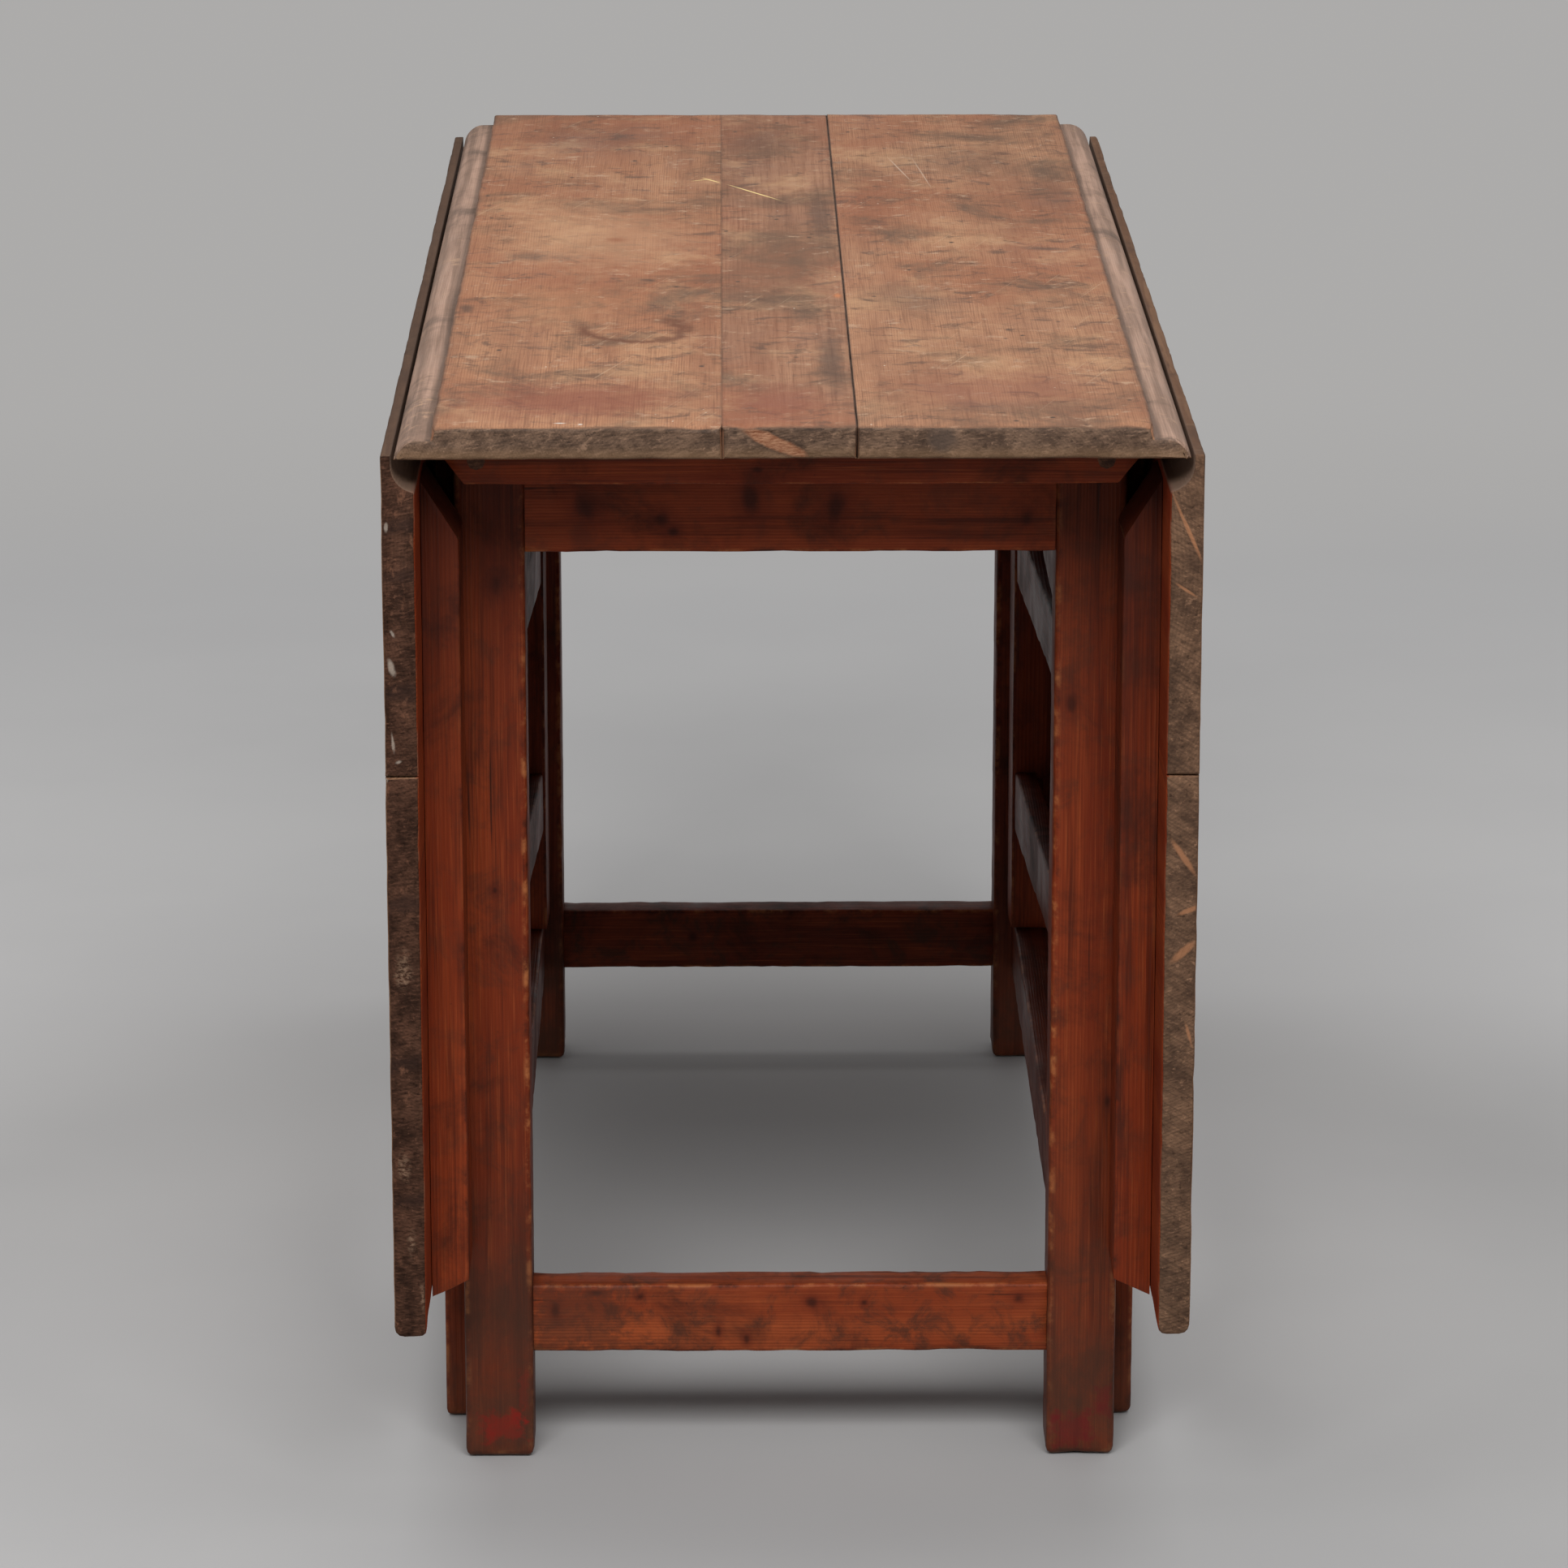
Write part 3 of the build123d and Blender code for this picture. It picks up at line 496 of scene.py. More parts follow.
# Seams beside each top board: (X, strength)
SEAMS = {"left": ((-0.045, 0.28),), "centre": ((-0.045, 0.28), (0.041, 0.9)), "right": ((0.041, 0.9),)}


def seam_lines(g, under, side, width, share, over):
    """Dark lines where the top boards meet."""
    for seam, strength in SEAMS[side]:
        line = g.step(g.abs(g.sub(g.x, seam)), 0.0003, width, 1.0, 0.0)
        under = g.paint(under, line, share * strength, over)
    return under


def top_wood(side, seed, heart, light, dark):
    """Worn, waxed and stained upper face; bleached moulding; dark sawn ends."""
    g = Graph(f"top_wood_{side}")
    late, fibre, streak, tone = grain(g, "Y", seed, 0.0021 if side == "centre" else 0.0016, heart)
    colour = g.mix(g.step(tone, 0.32, 0.68), dark, light)
    colour = g.paint(colour, late, 0.30, (0.13, 0.045, 0.02))
    colour = g.cover(colour, fibre, 0.48, 0.72, 0.55, (0.14, 0.058, 0.03))
    colour = g.cover(colour, streak, 0.55, 0.74, 0.4, (0.15, 0.06, 0.032))
    flat = g.join(g.add(g.x, seed * 2.3), g.mul(g.y, 0.8), g.z)
    glow = g.noise(flat, 5, 3, 0.5)
    colour = g.cover(colour, glow, 0.45, 0.66, 0.5, (0.24, 0.075, 0.034))
    worn = g.noise(g.join(g.add(g.x, seed), g.mul(g.y, 0.7), g.z), 12, 7, 0.66)
    colour = g.cover(colour, worn, 0.50, 0.68, 0.6, (0.42, 0.24, 0.128))
    dirt = g.noise(flat, 9, 9, 0.7, 0.5)
    colour = g.cover(colour, dirt, 0.47, 0.70, 0.85, (0.105, 0.067, 0.046))
    smear = g.noise(g.join(g.mul(g.x, 0.75), g.add(g.y, seed), g.z), 46, 7, 0.7, 0.8)
    colour = g.cover(colour, smear, 0.52, 0.68, 0.7, (0.085, 0.048, 0.033))
    rubbed = g.noise(g.join(g.mul(g.x, 0.8), g.y, seed), 75, 5, 0.7)
    colour = g.cover(colour, rubbed, 0.56, 0.72, 0.6, (0.44, 0.29, 0.19))
    freckle = g.spots(g.join(g.add(g.x, seed), g.mul(g.y, 0.7), g.z), 60)
    pick = g.noise(g.co, 21, 2)
    colour = g.paint(colour, g.step(freckle, 0.05, 0.16, 1.0, 0.0), g.step(pick, 0.52, 0.62), SOOT)
    speck = g.spots(g.join(g.x, g.y, g.add(g.z, seed)), 75)
    colour = g.paint(colour, g.step(speck, 0.03, 0.07, 1.0, 0.0), g.step(pick, 0.46, 0.38), (0.62, 0.52, 0.42))
    for angle, salt, strength in ((0.35, 1.0, 0.4), (-0.8, 2.0, 0.3), (1.25, 3.0, 0.35)):
        mask = g.mul(scratches(g, g.x, g.y, angle, seed + salt), g.step(worn, 0.42, 0.62))
        colour = g.paint(colour, mask, strength, (0.46, 0.31, 0.2))
    for kind, centre, radii, angle, paint, strength in TOP_MARKS[side]:
        if kind == "line":
            mask = g.blot(g.x, g.y, centre, radii, angle, 0.6, 0.3)
        elif kind == "ring":
            mask = g.blot(g.x, g.y, centre, radii, angle, 0.24, 0.65, 0.80)
            side_on = g.step(g.add(g.y, g.mul(g.x, -0.5)), centre[1] + 0.06, centre[1] + 0.09, 1.0, 0.1)
            mask = g.mul(mask, side_on)
        else:
            mask = g.blot(g.x, g.y, centre, radii, angle, 0.85, 1.2)
        colour = g.paint(colour, mask, strength, paint)
    colour = seam_lines(g, colour, side, 0.0014, 1.0, (0.03, 0.018, 0.013))
    upper = g.step(g.z, TOP_Z - 0.0045, TOP_Z - 0.003)
    edge = g.mul(g.edge(), upper)
    colour = g.paint(colour, g.step(edge, 0.2, 0.9), g.step(worn, 0.35, 0.6, 0.25, 0.8), (0.095, 0.052, 0.034))
    if side != "centre":
        out = g.step(g.abs(g.x), FLAT_X - 0.0012, FLAT_X + 0.0005)
        bleach = g.mix(g.step(streak, 0.36, 0.64), (0.38, 0.24, 0.175), (0.21, 0.13, 0.092))
        bleach = g.paint(bleach, late, 0.25, (0.15, 0.09, 0.062))
        bleach = g.cover(bleach, dirt, 0.48, 0.68, 0.75, (0.085, 0.062, 0.05))
        bleach = g.cover(bleach, rubbed, 0.58, 0.68, 0.65, (0.40, 0.25, 0.16))
        foot = g.step(g.z, 0.7415, 0.7445, 1.0, 0.25)
        shade = g.mul(g.step(g.abs(g.x), FLAT_X + 0.0025, FLAT_X + 0.0065, 1.0, 0.0), foot)
        bleach = g.paint(bleach, shade, 0.6, (0.07, 0.043, 0.03))
        tip = g.mul(g.step(g.y, -0.606, -0.594, 1.0, 0.0), g.step(rubbed, 0.40, 0.58))
        bleach = g.paint(bleach, tip, 0.7, (0.05, 0.034, 0.026))
        colour = g.mix(out, colour, bleach)
    ends, saw = end_grain(g, "Y", seed, (0.06, 0.035, 0.023), (0.155, 0.093, 0.060))
    ends = g.mix(g.step(g.z, UNDER_Z + 0.002, UNDER_Z + 0.011, 0.4, 0.0), ends, (0.22, 0.125, 0.065))
    if side == "centre":
        centre, slant = (-0.012, 0.7395), -0.42
        chip = g.mul(g.blot(g.x, g.z, centre, (0.028, 0.0050), slant, 0.4, 1.0), g.front())
        rim = g.mul(g.blot(g.x, g.z, centre, (0.032, 0.0072), slant, 0.5, 1.0), g.front())
        split = g.noise(g.join(g.add(g.x, g.mul(g.z, -0.6)), g.mul(g.z, 6.0), 0.0), 150, 4, 0.7)
        fresh = g.mix(g.step(split, 0.4, 0.6), (0.19, 0.07, 0.034), (0.34, 0.17, 0.095))
        ends = g.paint(ends, rim, 0.6, (0.035, 0.02, 0.014))
        ends = g.paint(ends, chip, 0.85, fresh)
    if side == "right":
        smudge = g.blot(g.x, g.z, (0.095, 0.742), (0.012, 0.010), 0.2, 0.6, 1.0)
        ends = g.paint(ends, smudge, 0.7, (0.05, 0.035, 0.028))
    ends = seam_lines(g, ends, side, 0.0016, 0.8, (0.022, 0.014, 0.01))
    colour = g.mix(end_face(g, "Y"), colour, ends)
    raw = g.mix(g.step(streak, 0.36, 0.66), (0.23, 0.125, 0.066), (0.13, 0.062, 0.034))
    raw = g.paint(raw, late, 0.5, (0.085, 0.036, 0.019))
    raw = g.cover(raw, dirt, 0.46, 0.68, 0.7, (0.06, 0.037, 0.026))
    low = g.step(g.z, UNDER_Z + 0.0006, UNDER_Z + 0.0018, 1.0, 0.0)
    colour = g.mix(low, colour, raw)
    height = g.add(g.mul(late, 0.2), g.add(g.mul(fibre, 0.3), g.mul(saw, g.mul(end_face(g, "Y"), 1.3))))
    height = g.add(height, g.mul(rubbed, 0.35))
    return finish_wood(g, colour, height, 0.42, 0.7, dirt, 0.4, 0.12)


def leaf_wood(side, part, seed):
    """Leaf: grey-brown weathered face, red-stained back, sawn ends."""
    sign = 1 if side == "right" else -1
    g = Graph(f"leaf_wood_{side}_{part}")
    across = g.mul(g.x, sign)
    late, fibre, streak, tone = grain(g, "Y", seed, 0.0026, (sign * 0.17, 0.40 + 0.07 * math.sin(seed * 7)))
    face = g.mix(g.step(tone, 0.3, 0.7), (0.165, 0.08, 0.042), (0.27, 0.145, 0.08))
    face = g.paint(face, late, 0.5, (0.10, 0.04, 0.022))
    face = g.cover(face, fibre, 0.48, 0.72, 0.5, (0.11, 0.052, 0.03))
    face = g.cover(face, streak, 0.52, 0.72, 0.5, (0.13, 0.07, 0.042))
    worn = g.noise(g.join(g.x, g.mul(g.y, 0.6), g.add(g.z, seed)), 13, 7, 0.68)
    face = g.cover(face, worn, 0.50, 0.68, 0.5, (0.31, 0.175, 0.10))
    dirt = g.noise(g.join(g.x, g.mul(g.y, 0.5), g.add(g.z, seed)), 12, 9, 0.72, 0.5)
    face = g.cover(face, dirt, 0.47, 0.70, 0.75, (0.075, 0.047, 0.035))
    smear = g.noise(g.join(g.x, g.add(g.mul(g.y, 0.5), seed), g.z), 52, 6, 0.7, 0.8)
    face = g.cover(face, smear, 0.54, 0.68, 0.55, (0.065, 0.038, 0.027))
    freckle = g.spots(g.join(g.x, g.mul(g.y, 0.7), g.add(g.z, seed)), 55)
    pick = g.noise(g.co, 19, 2)
    face = g.paint(face, g.step(freckle, 0.05, 0.16, 1.0, 0.0), g.step(pick, 0.52, 0.62), SOOT)
    for angle, salt in ((0.5, 1.0), (-0.7, 2.0), (1.3, 3.0)):
        mask = g.mul(scratches(g, g.y, g.z, angle, seed + salt), g.step(worn, 0.42, 0.62))
        face = g.paint(face, mask, 0.35, (0.42, 0.28, 0.18))
    back = g.mix(g.step(tone, 0.3, 0.7), (0.16, 0.024, 0.009), (0.25, 0.045, 0.014))
    back = g.paint(back, late, 0.3, (0.075, 0.011, 0.005))
    back = g.cover(back, streak, 0.55, 0.72, 0.5, (0.09, 0.02, 0.012))
    colour = g.mix(g.step(across, LEAF_IN_X + 0.001, LEAF_IN_X + 0.003), back, face)
    if part == "upper":
        dp = g.sub(across, HINGE_X)
        dq = g.sub(g.z, HINGE_Z)
        far = g.hypot(dp, dq)
        cove = g.mul(g.step(far, COVE_R + 0.0015, COVE_R + 0.003, 1.0, 0.0), g.step(g.z, 0.703, 0.708))
        colour = g.paint(colour, cove, 0.85, (0.13, 0.085, 0.062))
    edge = g.edge()
    rub = g.noise(g.co, 42, 4)
    colour = g.paint(colour, g.step(edge, 0.2, 0.9), g.step(rub, 0.48, 0.68, 0.0, 0.5), (0.21, 0.12, 0.075))
    grime = 0.8 if side == "left" else 0.5
    colour = g.cover(colour, g.z, 0.722, 0.731, grime, (0.052, 0.034, 0.026))
    front = g.front()
    if side == "right":
        ends, saw = end_grain(g, "Y", seed, (0.062, 0.035, 0.023), (0.168, 0.093, 0.056), 0.5)
        chisel = (
            ((0.2512, 0.684), (0.030, 0.0014), -1.165), ((0.2525, 0.642), (0.011, 0.0014), -0.59),
            ((0.2555, 0.676), (0.018, 0.0010), -1.165),
            ((0.2535, 0.464), (0.020, 0.0028), -0.98), ((0.256, 0.429), (0.011, 0.0022), 0.38),
            ((0.2545, 0.402), (0.014, 0.0036), 0.74), ((0.258, 0.345), (0.011, 0.0016), -1.3),
        )
        kerf = g.noise(g.join(g.weigh(g.x, 6.0, g.z, -8.0), g.weigh(g.x, 260, g.z, 430), 0.0), 1.0, 2)
        ends = g.cover(ends, kerf, 0.48, 0.64, 0.38, (0.042, 0.025, 0.017))
        for centre, radii, angle in chisel:
            mask = g.mul(g.blot(g.x, g.z, centre, radii, angle, 0.6, 1.1), front)
            ends = g.paint(ends, mask, 0.7, (0.31, 0.14, 0.07))
    else:
        ends, saw = end_grain(g, "Y", seed, (0.027, 0.013, 0.0085), (0.080, 0.037, 0.023))
        for z in (0.685, 0.653, 0.575, 0.435, 0.327, 0.232):
            band = g.mul(g.blot(g.x, g.z, (-0.2515, z), (0.03, 0.008), 0.12, 0.8, 1.6), front)
            ends = g.paint(ends, band, 0.6, (0.026, 0.014, 0.011))
        for centre, radii, angle in (
            ((-0.2575, 0.594), (0.0028, 0.008), 0.3), ((-0.2610, 0.519), (0.0014, 0.004), 0.0),
            ((-0.2535, 0.530), (0.0030, 0.0016), 0.4), ((-0.2590, 0.685), (0.0016, 0.004), 0.0),
            ((-0.2560, 0.615), (0.0016, 0.004), 0.5), ((-0.2570, 0.545), (0.0014, 0.010), 0.1),
        ):
            mask = g.mul(g.blot(g.x, g.z, centre, radii, angle, 0.7, 2.2), front)
            ends = g.paint(ends, mask, 0.5, (0.42, 0.35, 0.29))
        flake = g.noise(g.join(g.mul(g.x, 0.6), 0.0, g.z), 420, 3, 0.7)
        for centre, radii in (((-0.2540, 0.2556), (0.006, 0.014)), ((-0.2432, 0.166), (0.0024, 0.013)),
                              ((-0.2500, 0.203), (0.004, 0.012)), ((-0.2520, 0.39), (0.007, 0.016))):
            mask = g.mul(g.blot(g.x, g.z, centre, radii, 0.0, 1.0, 2.0), front)
            mask = g.mul(mask, g.step(flake, 0.42, 0.60))
            ends = g.paint(ends, mask, 0.8, (0.22, 0.135, 0.088))
        bare = g.noise(g.join(g.mul(g.x, 1.5), 0.0, g.z), 60, 5, 0.7)
        ends = g.cover(ends, bare, 0.56, 0.70, 0.55, (0.19, 0.085, 0.05))
    colour = g.mix(end_face(g, "Y"), colour, ends)
    height = g.add(g.mul(late, 0.35), g.add(g.mul(fibre, 0.4), g.mul(saw, g.mul(end_face(g, "Y"), 0.9))))
    return finish_wood(g, colour, height, 0.55, 0.8, dirt, 0.4, 0.03)


def frame_wood(name, axis, seed, heart=(0.05, -0.08), light=(0.25, 0.043, 0.012),
               dark=(0.135, 0.0185, 0.006), knots=(), marks=(), soil=0.0, bared=0.6, sooty=0.0, grimy=0.3):
    """Red-brown stain over pine: fine growth lines, rubbed edges, knots, soiled feet and, where asked, painted
    shade towards the top.
    """
    g = Graph(name)
    late, fibre, streak, tone = grain(g, axis, seed, 0.0019, heart)
    colour = g.mix(g.step(tone, 0.3, 0.7), dark, light)
    colour = g.paint(colour, late, 0.30, (0.06, 0.009, 0.004))
    colour = g.cover(colour, streak, 0.48, 0.70, 0.7, (0.05, 0.009, 0.0045))
    colour = g.cover(colour, fibre, 0.52, 0.78, 0.4, (0.36, 0.085, 0.025))
    dirt = g.noise(g.join(g.add(g.x, seed), g.y, g.z), 12, 8, 0.68, 0.4)
    colour = g.cover(colour, dirt, 0.49, 0.70, 0.75, (0.035, 0.011, 0.007))
    grime = g.noise(g.join(g.x, g.add(g.y, seed), g.z), 38, 7, 0.7, 0.5)
    colour = g.cover(colour, grime, 0.47, 0.66, grimy, (0.05, 0.02, 0.012))
    a, b, l = g.axes(axis)
    crack = g.noise(g.join(g.mul(a, 230), g.mul(b, 230), g.add(g.mul(l, 5.0), seed)), 1.0, 2, 0.5)
    colour = g.cover(colour, crack, 0.69, 0.76, 0.75, (0.022, 0.008, 0.005))
    p, q = (g.y if axis == "Y" else g.x), g.z
    for centre, radii, angle in knots:
        halo = g.blot(p, q, centre, scaled(radii, 2.4), angle, 1.0, 1.0)
        core = g.blot(p, q, centre, radii, angle, 0.9, 1.0)
        colour = g.paint(colour, halo, 0.6, (0.09, 0.015, 0.007))
        colour = g.paint(colour, core, 0.75, (0.03, 0.008, 0.005))
    edge = g.edge()
    rub = g.noise(g.co, 34, 6, 0.7)
    bare = g.mul(g.step(edge, 0.3, 0.95), g.step(rub, 0.48, 0.64, 0.0, bared))
    colour = g.mix(bare, colour, (0.38, 0.13, 0.045))
    black = g.mul(g.step(edge, 0.15, 0.8), g.step(rub, 0.48, 0.34, 0.0, 0.75))
    colour = g.mix(black, colour, (0.04, 0.012, 0.007))
    knock = g.noise(g.co, 120, 4, 0.7)
    colour = g.cover(colour, knock, 0.68, 0.76, 0.5, (0.035, 0.012, 0.008))
    if soil:
        low = g.mul(g.step(g.z, 0.0, soil, 1.0, 0.0), g.step(dirt, 0.3, 0.6, 0.45, 1.0))
        colour = g.paint(colour, low, 0.78, (0.058, 0.026, 0.016))
    # Painted shade: darker towards the top, where the table top shades the frame.
    if sooty:
        colour = g.cover(colour, g.z, 0.38, 0.71, sooty, (0.03, 0.008, 0.005))
    for centre, radii, angle, paint, strength in marks:
        mask = g.blot(p, q, centre, radii, angle, 0.5, 2.2, square=True)
        mask = g.mul(mask, g.step(grime, 0.36, 0.56, 1.0, 0.55))
        mask = g.mul(mask, g.step(g.y, -0.466, -0.458, 1.0, 0.0))
        colour = g.paint(colour, mask, strength, paint)
    ends, _ = end_grain(g, axis, seed, (0.06, 0.026, 0.016), (0.15, 0.066, 0.034))
    colour = g.mix(end_face(g, axis), colour, ends)
    height = g.add(g.mul(late, 0.25), g.add(g.mul(fibre, 0.35), g.mul(streak, 0.3)))
    return finish_wood(g, colour, height, 0.34, 0.62, dirt, 0.35, 0.10)


def iron():
    """Hammered, rust-flecked black iron."""
    g = Graph("forged_iron")
    scale = g.noise(g.co, 130, 5, 0.65)
    rust = g.noise(g.co, 46, 6, 0.7)
    colour = g.mix(g.step(scale, 0.35, 0.7), (0.028, 0.026, 0.025), (0.075, 0.07, 0.066))
    colour = g.cover(colour, rust, 0.54, 0.68, 0.75, (0.11, 0.036, 0.014))
    g.put(g.shader.inputs["Base Color"], colour)
    g.put(g.shader.inputs["Metallic"], g.step(rust, 0.5, 0.68, 0.85, 0.1))
    g.put(g.shader.inputs["Roughness"], g.step(rust, 0.4, 0.7, 0.45, 0.85))
    g.bump(g.add(scale, g.mul(rust, 0.6)), 0.5, 0.001)
    return g.material


def dress(piece, node, body, material):
    """Put a worn piece in the place of its CAD node."""
    piece.data.materials.append(material)
    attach(piece, body)
    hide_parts(node)


def stain(piece, node, body, *looks, **more):
    """Dress a frame piece in a red stain of its own."""
    dress(piece, node, body, frame_wood(f"stain_{node}", *looks, **more))


# Pieces
SIDES = (("left", -1), ("right", 1))
ENDS = ("front", "rear")


def arc(centre, radius, start, end):
    """Points along an arc, both ends among them."""
    out = []
    for i in range(ARC_STEPS + 1):
        a = start + (end - start) * i / ARC_STEPS
        out.append((centre[0] + radius * math.cos(a), centre[1] + radius * math.sin(a)))
    return out


def top_profile(inner, sign):
    """Outline of an outer top board with its ovolo, and the cut at each corner."""
    curve = arc((HINGE_X, HINGE_Z), OVOLO_R, math.pi / 2, math.asin((UNDER_Z - HINGE_Z) / OVOLO_R))
    pts = [(inner, UNDER_Z)] + list(reversed(curve))
    pts += [(FLAT_X, curve[0][1]), (FLAT_X, TOP_Z), (inner, TOP_Z)]
    cuts = [0.0004, 0.0009] + [0.0] * ARC_STEPS + [0.0007, 0.0022, 0.0006]
    return [(sign * u, v) for u, v in pts], cuts


def build_top():
    """Three boards, the outer two moulded and the centre one chipped in front."""
    y = -HALF_LENGTH
    chip = [((-0.030, y, 0.7475), 0.012, 0.0022), ((-0.014, y, 0.741), 0.013, 0.0022),
            ((0.002, y, 0.735), 0.011, 0.0018)]
    corner = [((-0.228, y, 0.750), 0.012, 0.0022), ((0.196, y, 0.751), 0.016, 0.0016),
              ((0.229, y, 0.751), 0.012, 0.0026), ((-0.06, y, 0.751), 0.02, 0.0014)]
    left, left_cuts = top_profile(0.0446, -1)
    right, right_cuts = top_profile(0.0406, 1)
    right_cuts[-1] = 0.0014
    centre, centre_cuts = box_corners(-0.0454, 0.0414, UNDER_Z, TOP_Z), [0.0004, 0.0004, 0.0014, 0.0006]
    # side, outline, cuts, seed, dents, heart of the tree, light and dark wood
    for side, shape, cuts, seed, dents, heart, light, dark in (
        ("left", left, left_cuts, 1.3, corner, (-0.42, 0.62), (0.37, 0.18, 0.094), (0.25, 0.11, 0.058)),
        ("right", right, right_cuts, 4.1, corner, (0.46, 0.63), (0.37, 0.185, 0.10), (0.25, 0.115, 0.062)),
        ("centre", centre, centre_cuts, 2.6, chip + corner, (0.012, 0.700), (0.31, 0.155, 0.088),
         (0.21, 0.098, 0.055)),
    ):
        name = f"top_board_{side}"
        piece = plank(name, "Y", straight(-HALF_LENGTH, HALF_LENGTH, shape), cuts, seed,
                      (0.003, 0.003), 0.0075, 0.0085, 0.0005, 0.0015, dents=dents)
        dress(piece, name, "frame", top_wood(side, seed, heart, light, dark))


def build_top_battens():
    """Battens under the top, square for most of their length and bevelled at their ends."""
    square, bevelled, half = 0.18, 0.048, 0.228
    lower_reach, upper_gain = 0.212, 0.0245
    for end, seed in zip(ENDS, (6.2, 7.9)):
        name = f"top_batten_{end}"
        low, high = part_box(name)
        shape = box_corners(low.y, high.y, low.z, UNDER_Z)

        def bevel(p):
            if abs(p.x) <= square:
                return p
            limit = lower_reach + (p.z - low.z) / (UNDER_Z - low.z) * upper_gain
            x = square + (abs(p.x) - square) * (limit - square) / bevelled
            return Vector((math.copysign(x, p.x), p.y, p.z))

        piece = plank(name, "X", straight(-half, half, shape), [0.0018, 0.0018, 0.0003, 0.0003],
                      seed, (0.0008, 0.0008), remap=bevel)
        knots = (((-0.022, 0.706), (0.006, 0.003), 0.0),)
        stain(piece, name, "frame", "X", 6.2, knots=knots)


def build_legs():
    """Four square legs, the front two with paint spilt on their feet."""
    red, dull = (0.20, 0.0125, 0.0085), (0.115, 0.011, 0.012)
    # seed, knots, paint
    looks = {
        "leg_front_left": (
            1.1,
            (((-0.1938, 0.615), (0.006, 0.009), 0.0), ((-0.1974, 0.4045), (0.0022, 0.003), 0.0)),
            (((-0.1967, 0.023), (0.0175, 0.0125), 0.1, red, 0.9),
             ((-0.182, 0.05), (0.004, 0.018), 0.0, red, 0.35)),
        ),
        "leg_front_right": (
            2.9,
            (((0.187, 0.532), (0.005, 0.009), 0.0), ((0.214, 0.255), (0.003, 0.006), 0.0)),
            (((0.1925, 0.018), (0.0165, 0.0155), 0.1, dull, 0.95),
             ((0.2135, 0.040), (0.007, 0.012), 0.0, dull, 0.7)),
        ),
        "leg_rear_left": (5.3, (), ()),
        "leg_rear_right": (8.7, (), ()),
    }
    for name, (seed, knots, marks) in looks.items():
        low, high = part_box(name)
        shape = box_corners(low.x, high.x, low.y, high.y)
        piece = plank(name, "Z", straight(0.0, UNDER_Z, shape), [0.0042] * 4, seed,
                      (0.0055, 0.0005), 0.0075, 0.010, 0.0004, 0.0016)
        heart = (math.copysign(0.26, low.x), math.copysign(0.52, low.y))
        # The legs take painted shade towards their tops, under the table top.
        stain(piece, name, "frame", "Z", seed, heart, knots=knots, marks=marks, soil=0.34, bared=0.85,
              sooty=0.6, grimy=0.4)


def build_end_rails():
    """Aprons and stretchers across the two ends."""
    # seed, knots
    looks = {
        "end_apron_front": (3.3, (
            ((-0.1357, 0.666), (0.010, 0.014), 0.3), ((-0.085, 0.6575), (0.007, 0.006), 0.0),
            ((-0.026, 0.671), (0.008, 0.015), 0.2), ((0.030, 0.6655), (0.008, 0.016), -0.2),
            ((0.1558, 0.657), (0.006, 0.006), 0.0), ((-0.077, 0.649), (0.005, 0.004), 0.0),
        )),
        "end_apron_rear": (9.4, (
            ((0.11, 0.67), (0.009, 0.010), 0.0), ((-0.06, 0.66), (0.007, 0.007), 0.0),
        )),
        "end_stretcher_front": (4.6, (
            ((0.0146, 0.1095), (0.0055, 0.005), 0.0), ((0.0506, 0.1094), (0.003, 0.003), 0.0),
            ((0.1557, 0.112), (0.006, 0.005), 0.0), ((-0.049, 0.089), (0.003, 0.006), 0.0),
            ((-0.132, 0.117), (0.007, 0.003), 0.0), ((-0.102, 0.114), (0.005, 0.0035), 0.3),
            ((-0.160, 0.105), (0.004, 0.007), 0.0), ((-0.0297, 0.0832), (0.003, 0.005), 0.0),
        )),
        "end_stretcher_rear": (7.2, (((-0.07, 0.10), (0.006, 0.006), 0.0),)),
    }
    murk = {"end_stretcher_front": (((-0.146, 0.098), (0.040, 0.034), 0.0, (0.055, 0.021, 0.0125), 0.8),)}
    reach = LEG_IN_X + INTO_LEG
    for name, (seed, knots) in looks.items():
        low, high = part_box(name)
        shape = box_corners(low.y, high.y, low.z, high.z)
        piece = plank(name, "X", straight(-reach, reach, shape), [0.0022, 0.0022, 0.0026, 0.0026],
                      seed, HIDDEN_ENDS, wear=0.0018)
        light = (0.285, 0.06, 0.018) if "stretcher_front" in name else (0.22, 0.038, 0.011)
        # Painted shade: the rear rails, in the shade under the table, take a darker dark tone than the front
        # ones.
        dark = (0.17, 0.028, 0.009) if "front" in name else (0.09, 0.016, 0.007)
        stain(piece, name, "frame", "X", seed, (math.copysign(0.6, low.y), 0.3), light, dark, knots=knots,
              marks=murk.get(name, ()), grimy=0.75 if "stretcher" in name else 0.35)


